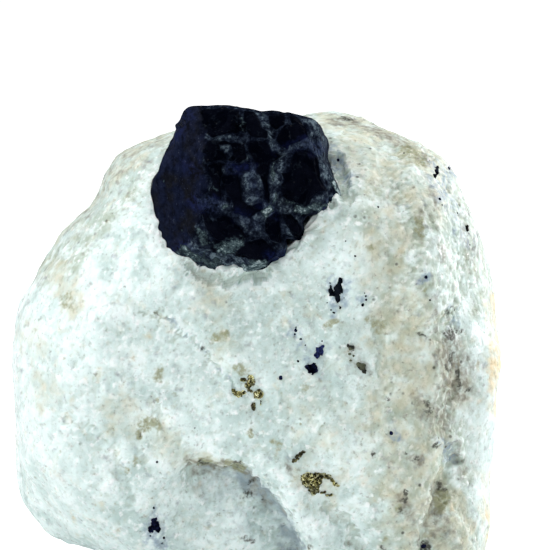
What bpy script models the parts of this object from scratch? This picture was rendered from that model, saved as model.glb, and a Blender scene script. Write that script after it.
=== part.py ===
"""A lazurite crystal on a hand specimen of white marble, with pyrite and small lazurite grains.

Blender 4.5, metres, +Z up. The specimen stands on its flat underside and its front faces -Y.
Sizes below are in millimetres, and each mesh is scaled to metres when it is made.
"""
import math
import random

import bmesh
import bpy
import numpy as np
from mathutils import Matrix, Vector, noise
from mathutils.bvhtree import BVHTree

MM = 0.001

# The marble: its outline seen from the front (x, z), clockwise from the top left shoulder
OUTLINE = [
    (-12.5, 56.2), (-7.5, 57.7), (-1.0, 58.2), (5.4, 58.3), (12.5, 58.2), (17.5, 56.5),
    (22.3, 53.9), (25.1, 52.2), (27.0, 48.9), (28.6, 44.0), (29.5, 38.3), (30.8, 32.0),
    (32.1, 26.0), (31.5, 19.5), (30.3, 13.0), (30.2, 6.0), (29.6, 0.5), (26.0, -3.0),
    (10.0, -4.5), (-8.0, -3.2), (-16.0, 0.3), (-22.5, 2.6), (-28.0, 4.2), (-31.0, 9.0),
    (-31.6, 16.5), (-32.3, 25.0), (-31.2, 32.0), (-28.6, 37.4), (-25.0, 43.7), (-20.9, 48.2),
    (-19.7, 51.2), (-17.2, 53.9),
]
CENTRE = (0.0, 0.0, 28.5)
DEPTH_FRONT = 20.0
DEPTH_BACK = 18.0
BOXINESS = 3.2
OUTLINE_STEPS = 12
BALL_SPLITS = 7

# Broad broken faces: a point on the face, and the way it looks
BROKEN_FACES = [
    ((-17.5, -14.0, 46.0), (-0.50, -0.62, 0.60)),
    ((15.0, -9.5, 56.6), (0.30, -0.50, 0.81)),
    ((26.0, -11.5, 47.0), (0.74, -0.60, 0.30)),
    ((0.0, 17.2, 30.0), (0.20, 0.97, 0.12)),
    ((-18.0, 12.8, 34.0), (-0.58, 0.78, 0.22)),
    ((2.0, 13.5, 9.0), (0.10, 0.84, -0.53)),
    ((20.0, 12.0, 40.0), (0.58, 0.76, 0.29)),
    ((-2.0, 11.0, 53.0), (-0.12, 0.70, 0.70)),
    ((-26.4, -8.6, 7.0), (-0.60, -0.52, -0.61)),
]
EDGE_SHARPNESS = 26.0
LEAST_LEAN = 1e-4

# Waviness of the broken surface: size of a wave, height
WAVES = [(15.0, 1.0), (6.5, 0.55), (3.2, 0.28)]
# Flat breaks between ledges on the back: their size, how steeply each leans, their soft border
BREAK_SIZE = 12.0
BREAK_LEAN = 3.6
BREAK_BORDER = 0.2
BREAK_FROM, BREAK_TO = -2.0, 9.0
BREAK_SPREAD = 3.7
BREAK_SEED = 5

# The front's own forms start behind its outline and are full this far forward
FRONT_FROM, FRONT_TO = 1.0, 9.0

# The scoop low on the front: its upper rim (x, z), how far it goes in, the height of its wall and
# how much that eases to the right, where it fades out at the left, and how it shallows lower down
SCOOP_RIM = [
    (-17.0, 9.0), (-12.0, 15.0), (-9.5, 16.7), (-7.0, 16.9), (-2.6, 16.5), (0.3, 14.6),
    (2.2, 12.4), (4.1, 9.7), (5.4, 7.1), (6.4, 5.2), (8.4, 0.0), (10.0, -9.0),
]
SCOOP_DEPTH = 3.9
SCOOP_WALL = 2.0
SCOOP_EASE = 0.45
SCOOP_EASE_FROM, SCOOP_EASE_TO = -1.0, 3.0
SCOOP_LEFT_FROM, SCOOP_LEFT_TO = -16.0, -5.0
SCOOP_SHALLOWS = 0.35
SHALLOWS_FROM, SHALLOWS_TO = 5.0, 15.0

# The groove that sets the right flank back (z, x), its depth (z, depth), the width of its wall,
# and the share of its depth that the flank wins back further out
GROOVE = [(2.0, 20.6), (8.7, 21.6), (13.2, 22.4), (19.8, 23.1), (26.0, 24.3), (30.4, 23.6),
          (34.3, 22.2), (45.7, 22.9), (54.5, 21.6)]
GROOVE_DEPTH = [(4.0, 1.7), (12.0, 2.3), (26.0, 2.1), (34.0, 1.1), (45.0, 0.7), (54.0, 0.3)]
GROOVE_WALL = 1.1
FLANK_RETURN = 0.7
FLANK_FROM, FLANK_TO = 2.5, 7.0

# Soft folds and ridges on the front: path (x, z), width, height (negative goes in)
FOLDS = [
    ([(2.6, 16.0), (5.8, 12.6), (8.0, 9.0), (9.6, 5.0), (10.8, 0.0)], 2.0, 1.0),
    ([(8.8, 11.2), (11.0, 9.0), (12.9, 5.8), (14.2, 1.0)], 1.0, -1.0),
    ([(23.8, 8.5), (24.4, 5.6), (24.2, 2.0)], 1.3, 1.3),
    ([(24.5, 17.2), (25.0, 18.6)], 0.9, 0.9),
    ([(-14.7, 35.5), (-11.6, 34.5), (-6.0, 29.5), (-2.8, 26.3)], 0.8, -0.35),
    ([(12.5, 52.0), (14.0, 43.0)], 5.0, 2.2),
    ([(-24.0, 22.0), (-20.0, 33.0)], 4.0, 0.6),
    ([(17.5, 20.0), (18.5, 11.0)], 2.2, 0.6),
    ([(1.5, 26.0), (9.0, 21.5)], 2.5, 0.5),
]
MARBLE_DETAIL = 0.085

# The lazurite crystal: its middle, then each face by a point on it and the way it looks
CRYSTAL_MIDDLE = (-1.3, -14.6, 50.9)
CRYSTAL_FACES = [
    ((0.0, -21.3, 51.0), (0.10, -1.0, 0.03)),
    ((-6.8, -22.0, 51.0), (-0.70, -0.71, 0.0)),
    ((-13.1, -16.5, 50.6), (-0.90, 0.0, 0.43)),
    ((-0.3, -18.5, 61.0), (0.10, 0.24, 0.96)),
    ((-2.8, -21.8, 57.8), (0.05, -0.80, 0.60)),
    ((-3.0, -22.4, 45.8), (-0.08, -0.84, -0.54)),
    ((-12.8, -16.5, 47.5), (-0.98, 0.0, -0.20)),
    ((-10.5, -17.0, 43.0), (-0.55, -0.08, -0.83)),
    ((-6.4, -17.5, 40.3), (-0.43, -0.10, -0.90)),
    ((-0.2, -17.5, 40.5), (0.30, -0.10, -0.95)),
    ((7.0, -18.0, 46.2), (0.70, -0.10, -0.70)),
    ((9.6, -18.0, 54.6), (0.95, -0.05, 0.30)),
    ((5.8, -21.0, 54.6), (0.55, -0.83, 0.10)),
    ((0.0, -7.5, 50.0), (0.0, 1.0, 0.0)),
]
# Angular blocks of its broken front: place (x, z), radius, how proud, lean (degrees), seed
CRYSTAL_BLOCKS = [
    ((4.3, 57.2), 2.1, 0.5, (-4, 10), 1),
    ((5.8, 53.9), 2.7, 0.9, (-6, 14), 2),
    ((0.4, 56.2), 2.1, 0.9, (10, -12), 3),
    ((-4.4, 56.4), 2.6, 0.8, (14, 8), 4),
    ((-2.1, 52.2), 2.8, 1.0, (-8, -14), 5),
    ((-5.4, 52.0), 1.9, 0.7, (6, 16), 6),
    ((-4.2, 48.8), 2.3, 0.9, (-12, 10), 7),
    ((0.2, 49.8), 2.3, 1.1, (9, -13), 8),
    ((2.6, 52.7), 1.9, 1.0, (-15, 6), 9),
    ((2.3, 47.2), 2.1, 1.1, (-12, -12), 10),
    ((4.9, 46.9), 1.9, 0.9, (-9, 16), 11),
    ((0.7, 43.9), 2.6, 0.6, (-16, 8), 12),
    ((-4.3, 44.9), 2.3, 0.6, (-18, -10), 13),
    ((-8.0, 44.9), 1.9, 0.4, (-12, -14), 14),
    ((6.6, 50.2), 2.1, 0.9, (-8, 18), 15),
    ((8.2, 52.9), 1.6, 0.5, (6, 20), 16),
    ((-1.2, 58.6), 2.4, 0.35, (5, -9), 17),
    ((-6.3, 45.6), 1.7, 0.6, (-10, 5), 18),
]
# Growth steps on its natural faces: way from the middle, radius, how proud, lean, seed
CRYSTAL_LEDGES = [
    ((-0.45, 0.05, 1.0), 4.6, 0.45, (2, -2), 31),
    ((0.55, 0.30, 1.0), 3.6, 0.35, (-3, 2), 32),
    ((0.05, -0.20, 1.0), 3.0, 0.30, (1, 3), 35),
    ((-1.0, -0.55, 0.25), 3.4, 0.22, (1, 2), 33),
    ((1.0, 0.05, 0.30), 4.0, 0.35, (2, -3), 34),
]
BLOCK_ROOT = 2.5
BLOCK_TAPER = 0.45
BLOCK_SIDES = (5, 6)
# Least and most share: how uneven a block's turns, tapers and sides are
BLOCK_TURNS = (-0.2, 0.2)
BLOCK_TAPERS = (0.4, 1.6)
BLOCK_REACH = (0.75, 1.0)
PLAY = 0.3

# Each small grain's count of flat faces, how unevenly they turn and how far out they lie
GRAIN_FACES = 18
GRAIN_TURNS = (-0.25, 0.25)
GRAIN_REACH = (0.86, 1.04)
GOLDEN_TURN = math.pi * (3.0 - math.sqrt(5.0))
# Small grains: name, place (x, z), size (x, z, thickness), how proud, turn (degrees), seed
LAZURITE_GRAINS = [
    ("lazurite_grain_angular", (9.7, 38.4), (1.9, 3.2, 1.5), 0.45, -12, 11),
    ("lazurite_grain_blue", (7.8, 30.8), (1.2, 1.6, 1.1), 0.35, 8, 5),
    ("lazurite_grain_round", (6.9, 28.6), (1.6, 1.5, 1.2), 0.40, 20, 7),
    ("lazurite_grain_low", (-13.0, 8.0), (1.8, 1.9, 1.4), 0.45, 0, 3),
    ("lazurite_grain_corner", (22.7, 51.6), (0.9, 1.3, 1.0), 0.30, 15, 9),
    ("lazurite_grain_right", (26.7, 45.0), (0.7, 1.3, 0.9), 0.30, 10, 13),
]
DIOPSIDE_GRAIN = ("diopside_grain", (13.1, 28.6), (1.2, 1.3, 1.0), 0.30, 30, 17)
# Pyrite: cubes grown together. Place (x, z), then each cube's offset (x, z) and size
PYRITE_CLUSTERS = [
    ("pyrite_cluster_low", (7.5, 13.9), 0.35, 21, [
        (0.0, 0.0, 1.25), (-0.9, 0.35, 1.0), (0.85, 0.45, 1.0), (-1.5, 0.6, 0.7),
        (1.5, 0.15, 0.75), (0.35, -0.75, 0.95), (-0.5, -0.45, 0.8), (0.1, 0.8, 0.8),
        (2.05, -0.2, 0.6), (2.45, -0.5, 0.45), (1.0, -0.5, 0.7), (0.5, -1.3, 0.6),
        (-1.2, 0.0, 0.6), (1.15, 0.95, 0.5), (-0.65, 0.95, 0.55),
    ]),
    ("pyrite_cluster_high", (-1.8, 26.7), 0.30, 34, [
        (0.0, 0.0, 0.9), (-0.75, -0.55, 0.85), (-1.05, -0.95, 0.7), (0.35, 0.55, 0.85),
        (-0.25, 0.85, 0.7), (0.9, 0.55, 0.6), (0.85, -0.55, 0.7), (1.45, -0.75, 0.8),
        (1.7, -0.3, 0.55), (-0.6, 0.25, 0.6), (0.45, -0.2, 0.6),
    ]),
    ("pyrite_grain", (-0.55, 24.1), 0.25, 40, [
        (0.0, 0.25, 0.55), (0.05, -0.15, 0.6), (0.0, -0.5, 0.45),
    ]),
    ("pyrite_sliver", (5.1, 17.7), 0.25, 52, [
        (-0.5, -0.35, 0.6), (-0.1, -0.05, 0.6), (0.3, 0.2, 0.5), (0.65, 0.5, 0.4),
    ]),
]
PROUD_SHARES = (0.7, 1.3)
POCKET_FLAT = 6.0
# A plane this far in front of everything, and the block that cuts the base flat
FAR_FRONT = -60.0
GROUND_SIZE = 100.0


def clear_scene():
    for old in list(bpy.data.objects):
        bpy.data.objects.remove(old)


def make_object(name, mesh, material):
    mesh.materials.append(material)
    made = bpy.data.objects.new(name, mesh)
    bpy.context.scene.collection.objects.link(made)
    return made


def make_cutter(name, mesh, group):
    """A shape that only cuts or joins others, kept in the collection that a Boolean reads."""
    made = bpy.data.objects.new(name, mesh)
    made.hide_render = True
    made.display_type = "WIRE"
    group.objects.link(made)
    return made


def make_group(name):
    group = bpy.data.collections.new(name)
    bpy.context.scene.collection.children.link(group)
    return group


def plain_material(name, colour, roughness, metallic=0.0):
    material = bpy.data.materials.new(name)
    material.use_nodes = True
    shader = material.node_tree.nodes["Principled BSDF"]
    shader.inputs["Base Color"].default_value = (*colour, 1.0)
    shader.inputs["Roughness"].default_value = roughness
    shader.inputs["Metallic"].default_value = metallic
    return material


def marble_material():
    return plain_material("marble", (0.80, 0.82, 0.79), 0.55)


def lazurite_material():
    return plain_material("lazurite", (0.008, 0.012, 0.05), 0.35)


def pyrite_material():
    return plain_material("pyrite", (0.46, 0.38, 0.16), 0.3, metallic=1.0)


def diopside_material():
    return plain_material("diopside", (0.06, 0.07, 0.035), 0.4)


def smooth_rise(low, high, value):
    t = np.clip((value - low) / (high - low), 0.0, 1.0)
    return t * t * (3.0 - 2.0 * t)


def closed_curve(points, steps):
    """Points along a smooth closed curve through the given ones."""
    corner = np.array(points)
    before, after = np.roll(corner, 1, axis=0), np.roll(corner, -1, axis=0)
    beyond = np.roll(corner, -2, axis=0)
    made = []
    for step in range(steps):
        t = step / steps
        made.append(0.5 * (2 * corner + (after - before) * t
                           + (2 * before - 5 * corner + 4 * after - beyond) * t ** 2
                           + (3 * corner - before - 3 * after + beyond) * t ** 3))
    return np.stack(made, axis=1).reshape(-1, 2)


def outline_reach(angles):
    """How far the outline is from the marble's centre, at each angle in the front view."""
    away = closed_curve(OUTLINE, OUTLINE_STEPS) - (CENTRE[0], CENTRE[2])
    around = np.arctan2(away[:, 1], away[:, 0])
    order = np.argsort(around)
    return np.interp(angles, around[order], np.hypot(*away.T)[order], period=2 * math.pi)


def distance_to_path(x, z, path):
    nearest = np.full(x.shape, np.inf)
    for (ax, az), (bx, bz) in zip(path, path[1:]):
        along_x, along_z = bx - ax, bz - az
        t = ((x - ax) * along_x + (z - az) * along_z) / (along_x ** 2 + along_z ** 2)
        t = np.clip(t, 0.0, 1.0)
        nearest = np.minimum(nearest, np.hypot(x - ax - t * along_x, z - az - t * along_z))
    return nearest


def front_relief(x, z):
    """How far the front surface is set back at each place, in millimetres."""
    rim_x, rim_z = zip(*SCOOP_RIM)
    below = np.interp(x, rim_x, rim_z) - z
    steep = 1.0 - SCOOP_EASE * smooth_rise(SCOOP_EASE_FROM, SCOOP_EASE_TO, x)
    scoop = smooth_rise(0.0, SCOOP_WALL, below * steep) * smooth_rise(SCOOP_LEFT_FROM, SCOOP_LEFT_TO, x)
    back = SCOOP_DEPTH * scoop * (1.0 - SCOOP_SHALLOWS * smooth_rise(SHALLOWS_FROM, SHALLOWS_TO, below))
    groove_z, groove_x = zip(*GROOVE)
    beyond = x - np.interp(z, groove_z, groove_x)
    depth = np.interp(z, *zip(*GROOVE_DEPTH))
    flank = 1.0 - FLANK_RETURN * smooth_rise(FLANK_FROM, FLANK_TO, beyond)
    back += depth * smooth_rise(0.0, GROOVE_WALL, beyond) * flank
    for path, width, height in FOLDS:
        back -= height * np.exp(-(distance_to_path(x, z, path) / width) ** 2)
    return back


def broken_height(point):
    """The uneven height of the broken marble at one point, in millimetres."""
    place = Vector(point)
    height = sum(rise * noise.noise(place / size) for size, rise in WAVES)
    distances, cells = noise.voronoi(place / BREAK_SIZE)
    shares = [max(0.0, 1.0 - (away - distances[0]) / BREAK_BORDER) ** 2 for away in distances]
    rise = sum(share * noise.noise_vector(cell * BREAK_SPREAD).dot(place / BREAK_SIZE - cell)
               for share, cell in zip(shares, cells)) / sum(shares)
    return height + BREAK_LEAN * smooth_rise(BREAK_FROM, BREAK_TO, place.y) * rise


def marble_points(directions):
    """The surface point that each direction from the centre meets."""
    side = np.hypot(directions[:, 0], directions[:, 2])
    reach = outline_reach(np.arctan2(directions[:, 2], directions[:, 0]))
    depth = np.where(directions[:, 1] < 0.0, DEPTH_FRONT, DEPTH_BACK)
    body = (side / reach) ** BOXINESS + (np.abs(directions[:, 1]) / depth) ** BOXINESS
    radius = body ** (-1.0 / BOXINESS)
    nearness = radius ** -EDGE_SHARPNESS
    for point, facing in BROKEN_FACES:
        normal = np.array(facing) / np.linalg.norm(facing)
        away = (np.array(point) - CENTRE) @ normal
        nearness += (np.maximum(directions @ normal, LEAST_LEAN) / away) ** EDGE_SHARPNESS
    radius = nearness ** (-1.0 / EDGE_SHARPNESS)
    places = CENTRE + directions * radius[:, None]
    places += directions * np.array([[broken_height(place)] for place in places])
    faces_front = smooth_rise(FRONT_FROM, FRONT_TO, -places[:, 1])
    places[:, 1] += faces_front * front_relief(places[:, 0], places[:, 2])
    return places


def marble_body():
    """The marble before its base is cut flat and its pockets are cut out."""
    noise.seed_set(BREAK_SEED)
    ball = bmesh.new()
    bmesh.ops.create_icosphere(ball, subdivisions=BALL_SPLITS, radius=1.0)
    directions = np.array([v.co.normalized() for v in ball.verts])
    for vertex, place in zip(ball.verts, marble_points(directions)):
        vertex.co = Vector(place) * MM
    mesh = bpy.data.meshes.new("marble_matrix")
    ball.to_mesh(mesh)
    ball.free()
    return mesh


def solid_from_faces(faces, middle, grow=0.0):
    """The convex solid that lies behind every face: (way it looks, distance from the middle)."""
    reach = 4.0 * max(distance for _, distance in faces)
    solid = bmesh.new()
    bmesh.ops.create_cube(solid, size=reach)
    for facing, distance in faces:
        normal = Vector(facing).normalized()
        everything = solid.verts[:] + solid.edges[:] + solid.faces[:]
        bmesh.ops.bisect_plane(solid, geom=everything, dist=1e-5, plane_no=normal,
                               plane_co=normal * (distance + grow), clear_outer=True)
        rim = [edge for edge in solid.edges if edge.is_boundary]
        if rim:
            bmesh.ops.contextual_create(solid, geom=rim)
    bmesh.ops.recalc_face_normals(solid, faces=solid.faces)
    solid.transform(Matrix.Translation(middle))
    return solid


def to_mesh(solid, name):
    """A mesh in metres from a solid in millimetres."""
    solid.transform(Matrix.Scale(MM, 4))
    mesh = bpy.data.meshes.new(name)
    solid.to_mesh(mesh)
    solid.free()
    return mesh


def hull_faces(points, middle):
    """Each face of the convex hull round the points, as (way it looks, distance)."""
    hull = bmesh.new()
    for point in points:
        hull.verts.new(point)
    bmesh.ops.convex_hull(hull, input=hull.verts)
    bmesh.ops.dissolve_limit(hull, angle_limit=math.radians(POCKET_FLAT), verts=hull.verts,
                             edges=hull.edges)
    hull.normal_update()
    faces = []
    for face in hull.faces:
        outward = face.normal.copy()
        distance = outward.dot(face.calc_center_median() - middle)
        faces.append((tuple(outward * math.copysign(1.0, distance)), abs(distance)))
    hull.free()
    return faces


def lean_to(facing):
    """The turn that brings -Y round to the way the surface looks."""
    return Vector((0, -1, 0)).rotation_difference(facing).to_matrix()


def crystal_faces():
    """The crystal's faces as (way it looks, distance from the middle)."""
    return [(facing, Vector(facing).normalized().dot(Vector(point) - Vector(CRYSTAL_MIDDLE)))
            for point, facing in CRYSTAL_FACES]


def block_faces(radius, lean, seed):
    """The faces of one angular block: uneven tapered sides, a leaning front and a root."""
    draw = random.Random(seed)
    turn = Matrix.Rotation(math.radians(lean[0]), 3, "X")
    turn = turn @ Matrix.Rotation(math.radians(lean[1]), 3, "Z")
    sides = draw.choice(BLOCK_SIDES)
    start = draw.uniform(0.0, math.tau)
    faces = [(tuple(turn @ Vector((0, -1, 0))), 0.0), ((0, 1, 0), BLOCK_ROOT)]
    for i in range(sides):
        around = start + (i + draw.uniform(*BLOCK_TURNS)) * math.tau / sides
        taper = -BLOCK_TAPER * draw.uniform(*BLOCK_TAPERS)
        side = Vector((math.cos(around), taper, math.sin(around)))
        faces.append((tuple(side), radius * draw.uniform(*BLOCK_REACH)))
    return faces


def crystal_solids(grow):
    """The crystal's core, blocks and growth steps, each grown outward by the same amount."""
    yield solid_from_faces(crystal_faces(), CRYSTAL_MIDDLE, grow)
    core = BVHTree.FromBMesh(solid_from_faces(crystal_faces(), CRYSTAL_MIDDLE))
    middle = Vector(CRYSTAL_MIDDLE)
    seats = [(core.ray_cast(Vector((place[0], FAR_FRONT, place[1])), Vector((0, 1, 0))), rest)
             for place, *rest in CRYSTAL_BLOCKS]
    seats += [(core.ray_cast(middle, Vector(way)), rest) for way, *rest in CRYSTAL_LEDGES]
    for (surface, facing, *_), (radius, proud, lean, seed) in seats:
        outward = facing * math.copysign(1.0, facing.dot(surface - middle))
        turn = lean_to(outward)
        faces = [(tuple(turn @ Vector(way)), away)
                 for way, away in block_faces(radius, lean, seed)]
        yield solid_from_faces(faces, surface + outward * proud, grow)


def grain_faces(size, turn, seed):
    """An angular grain: flat faces at uneven distances round an egg of the given size."""
    draw = random.Random(seed)
    half = Vector((size[0] / 2, size[2] / 2, size[1] / 2))
    spin = Matrix.Rotation(math.radians(turn), 3, "Y")
    faces = []
    for i in range(GRAIN_FACES):
        height = 1.0 - (2 * i + 1) / GRAIN_FACES
        around = i * GOLDEN_TURN + draw.uniform(*GRAIN_TURNS)
        flat = math.sqrt(1.0 - height * height)
        way = Vector((flat * math.cos(around), height, flat * math.sin(around)))
        reach = Vector(w * h for w, h in zip(way, half)).length
        faces.append((tuple(spin @ way), reach * draw.uniform(*GRAIN_REACH)))
    return faces


def on_surface(marble, place):
    """Where the marble's front is at (x, z), and the way it looks there."""
    start = Vector((place[0], FAR_FRONT, place[1])) * MM
    point, facing = marble.ray_cast(start, Vector((0, 1, 0)))[:2]
    return point / MM, facing


def embedded_grain(entry, marble, pockets, material):
    """One angular grain and the pocket that it sits in."""
    name, place, size, proud, turn, seed = entry
    point, facing = on_surface(marble, place)
    lean = lean_to(facing)
    middle = point - facing * (size[2] / 2 - proud)
    faces = [(tuple(lean @ Vector(way)), away) for way, away in grain_faces(size, turn, seed)]
    make_object(name, to_mesh(solid_from_faces(faces, middle), name), material)
    pocket = solid_from_faces(faces, middle, PLAY)
    make_cutter(f"pocket_{name}", to_mesh(pocket, f"pocket_{name}"), pockets)


def embedded_cluster(entry, marble, pockets, material):
    """Pyrite cubes grown together, and the pocket that they sit in."""
    name, place, proud, seed, cubes = entry
    draw = random.Random(seed)
    group = make_group(f"{name}_cubes")
    corners = []
    first = None
    for i, (dx, dz, size) in enumerate(cubes):
        point, facing = on_surface(marble, (place[0] + dx, place[1] + dz))
        turn = Matrix.Rotation(draw.uniform(0, math.tau), 3, Vector((
            draw.uniform(-1, 1), draw.uniform(-1, 1), draw.uniform(-1, 1))).normalized())
        middle = point - facing * (size / 2 - proud * draw.uniform(*PROUD_SHARES))
        cube = bmesh.new()
        bmesh.ops.create_cube(cube, size=size, matrix=Matrix.Translation(middle)
                              @ turn.to_4x4())
        corners.extend(v.co.copy() for v in cube.verts)
        mesh = to_mesh(cube, f"{name}_{i}")
        if first is None:
            mesh.name = name
            first = make_object(name, mesh, material)
        else:
            make_cutter(f"{name}_cube_{i}", mesh, group)
    join = first.modifiers.new("grown_together", "BOOLEAN")
    join.operation = "UNION"
    join.operand_type = "COLLECTION"
    join.collection = group
    middle = sum(corners, Vector()) / len(corners)
    pocket = solid_from_faces(hull_faces(corners, middle), middle, PLAY)
    make_cutter(f"pocket_{name}", to_mesh(pocket, f"pocket_{name}"), pockets)


def lazurite_crystal(pockets, material):
    """The large crystal, its angular blocks joined to it, and its pocket in the marble."""
    group = make_group("crystal_blocks")
    solids = list(crystal_solids(0.0))
    name = "lazurite_crystal"
    crystal = make_object(name, to_mesh(solids[0], name), material)
    for i, block in enumerate(solids[1:]):
        make_cutter(f"crystal_block_{i}", to_mesh(block, f"crystal_block_{i}"), group)
    join = crystal.modifiers.new("blocks", "BOOLEAN")
    join.operation = "UNION"
    join.operand_type = "COLLECTION"
    join.collection = group
    for i, pocket in enumerate(crystal_solids(PLAY)):
        make_cutter(f"pocket_crystal_{i}", to_mesh(pocket, f"pocket_crystal_{i}"), pockets)


def marble_matrix(mesh, pockets, material):
    """The marble, thinned to broken facets, cut flat below and opened for its crystals."""
    marble = make_object("marble_matrix", mesh, material)
    thin = marble.modifiers.new("facets", "DECIMATE")
    thin.ratio = MARBLE_DETAIL
    ground = bmesh.new()
    bmesh.ops.create_cube(ground, size=GROUND_SIZE, matrix=Matrix.Translation((0, 0, -GROUND_SIZE / 2)))
    base = make_group("base_cut")
    cutter = make_cutter("ground", to_mesh(ground, "ground"), base)
    flat = marble.modifiers.new("flat_base", "BOOLEAN")
    flat.operation = "DIFFERENCE"
    flat.object = cutter
    cut = marble.modifiers.new("pockets", "BOOLEAN")
    cut.operation = "DIFFERENCE"
    cut.operand_type = "COLLECTION"
    cut.collection = pockets


def stand_at_origin():
    """Moves everything so that the middle of the underside is at the origin."""
    graph = bpy.context.evaluated_depsgraph_get()
    corners = []
    for made in bpy.context.scene.objects:
        if made.type == "MESH" and not made.hide_render:
            corners.extend(Vector(corner) for corner in made.evaluated_get(graph).bound_box)
    low = Vector(min(corner[axis] for corner in corners) for axis in range(3))
    high = Vector(max(corner[axis] for corner in corners) for axis in range(3))
    stand = bpy.data.objects.new("stand", None)
    bpy.context.scene.collection.objects.link(stand)
    for made in list(bpy.data.objects):
        if made is not stand:
            made.parent = stand
    stand.location = (-(low.x + high.x) / 2, -(low.y + high.y) / 2, -low.z)


def main():
    clear_scene()
    lazurite = lazurite_material()
    pyrite = pyrite_material()
    pockets = make_group("pockets")
    body = marble_body()
    surface = bmesh.new()
    surface.from_mesh(body)
    marble = BVHTree.FromBMesh(surface)
    surface.free()
    lazurite_crystal(pockets, lazurite)
    for entry in LAZURITE_GRAINS:
        embedded_grain(entry, marble, pockets, lazurite)
    embedded_grain(DIOPSIDE_GRAIN, marble, pockets, diopside_material())
    for entry in PYRITE_CLUSTERS:
        embedded_cluster(entry, marble, pockets, pyrite)
    marble_matrix(body, pockets, marble_material())
    stand_at_origin()


main()
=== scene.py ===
"""A lazurite crystal on white marble: the looks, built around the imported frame.

After the studio, the sections are the large crystal, the marble that grips it, the small grains of
lazurite and diopside, and the pyrite. Lengths are in millimetres until a mesh is written.
"""
import math
import random

import bmesh
import bpy
import numpy as np
from mathutils import Matrix, Vector, noise
from mathutils.bvhtree import BVHTree


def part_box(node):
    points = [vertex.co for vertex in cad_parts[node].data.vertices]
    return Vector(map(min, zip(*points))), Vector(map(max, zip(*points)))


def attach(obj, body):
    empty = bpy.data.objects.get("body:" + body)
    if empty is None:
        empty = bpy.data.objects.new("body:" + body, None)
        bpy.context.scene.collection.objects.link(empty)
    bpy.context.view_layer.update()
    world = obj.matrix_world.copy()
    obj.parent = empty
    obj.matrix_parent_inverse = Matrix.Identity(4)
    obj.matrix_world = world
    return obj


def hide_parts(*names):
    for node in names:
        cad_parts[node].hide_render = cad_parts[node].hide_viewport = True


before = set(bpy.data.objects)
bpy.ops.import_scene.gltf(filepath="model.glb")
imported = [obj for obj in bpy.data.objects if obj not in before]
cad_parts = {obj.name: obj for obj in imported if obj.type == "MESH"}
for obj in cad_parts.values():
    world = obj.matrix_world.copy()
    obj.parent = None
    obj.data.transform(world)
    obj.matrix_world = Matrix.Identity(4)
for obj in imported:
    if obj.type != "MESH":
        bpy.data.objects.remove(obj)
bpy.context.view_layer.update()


# The studio. The specimen stands on a pale sheet that runs far back, as in a light tent:
# a broad lamp at the left, one behind at the right, one above, and little light from the front.
# The camera looks slightly down at the front, from half a metre away.
MM = 0.001
CAMERA_TARGET = Vector((2.39, 1.94, 38.0))
CAMERA_AWAY = 500.0
CAMERA_DOWN = math.radians(7.0)
PICTURE_SIZE = 550
PIXEL = 0.13
SENSOR = 36.0
PAPER_WIDTH = 12.0
PAPER_WHITE = (0.90, 0.92, 0.92)
PAPER_SHADE = (0.8, 0.8, 0.8)
PAPER_CLIP = 0.9
# Each lamp's place, its width and its power
LAMPS = {
    "lamp_left": ((-430.0, -190.0, 230.0), 520.0, 1.7),
    "lamp_right_back": ((380.0, 200.0, 210.0), 380.0, 2.2),
    "lamp_above": ((-60.0, -60.0, 470.0), 600.0, 1.8),
    "lamp_front": ((160.0, -430.0, 330.0), 200.0, 0.5),
}
LAMP_TARGET = (0.0, 0.0, 32.0)
SKY_WHITE = (0.95, 1.0, 1.0, 1.0)
# The tent's own light, faint in front of the specimen and stronger behind it
SKY_TURN = (-0.9, 0.2)
SKY_LIGHT = (0.02, 0.25)


def add_node(tree, kind, sockets=None, **settings):
    """A shader node with its settings, and its sockets linked or set."""
    node = tree.nodes.new(kind)
    for name, value in settings.items():
        setattr(node, name, value)
    for name, value in (sockets or {}).items():
        if isinstance(value, bpy.types.NodeSocket):
            tree.links.new(value, node.inputs[name])
        else:
            node.inputs[name].default_value = value
    return node


def maths(tree, operation, *values, **settings):
    """The result of a sum on values that may be numbers or sockets."""
    node = add_node(tree, "ShaderNodeMath", dict(enumerate(values)), operation=operation, **settings)
    return node.outputs[0]


def new_material(name):
    """A material whose tree holds a Principled shader: (material, tree, shader)."""
    material = bpy.data.materials.new(name)
    material.use_nodes = True
    tree = material.node_tree
    return material, tree, tree.nodes["Principled BSDF"]


def aim(thing, target):
    """Turns a lamp or a camera, which look along -Z, towards a point."""
    thing.rotation_euler = (Vector(target) * MM - thing.location).to_track_quat("-Z", "Y").to_euler()


def add_to_scene(name, data):
    thing = bpy.data.objects.new(name, data)
    bpy.context.scene.collection.objects.link(thing)
    return thing


camera = add_to_scene("camera", bpy.data.cameras.new("camera"))
camera.data.sensor_width = SENSOR
camera.data.lens = SENSOR * CAMERA_AWAY / (PICTURE_SIZE * PIXEL)
camera.data.clip_start = 0.01
view_line = Vector((0.0, math.cos(CAMERA_DOWN), -math.sin(CAMERA_DOWN)))
picture_up = (0.0, math.sin(CAMERA_DOWN), math.cos(CAMERA_DOWN))
eye = CAMERA_TARGET - view_line * CAMERA_AWAY
camera.location = eye * MM
aim(camera, CAMERA_TARGET)
bpy.context.scene.camera = camera
bpy.context.scene.view_settings.view_transform = "Standard"

for lamp_name, (place, size, watts) in LAMPS.items():
    lamp = add_to_scene(lamp_name, bpy.data.lights.new(lamp_name, "AREA"))
    lamp.data.size = size * MM
    lamp.data.energy = watts
    lamp.location = Vector(place) * MM
    aim(lamp, LAMP_TARGET)

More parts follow.
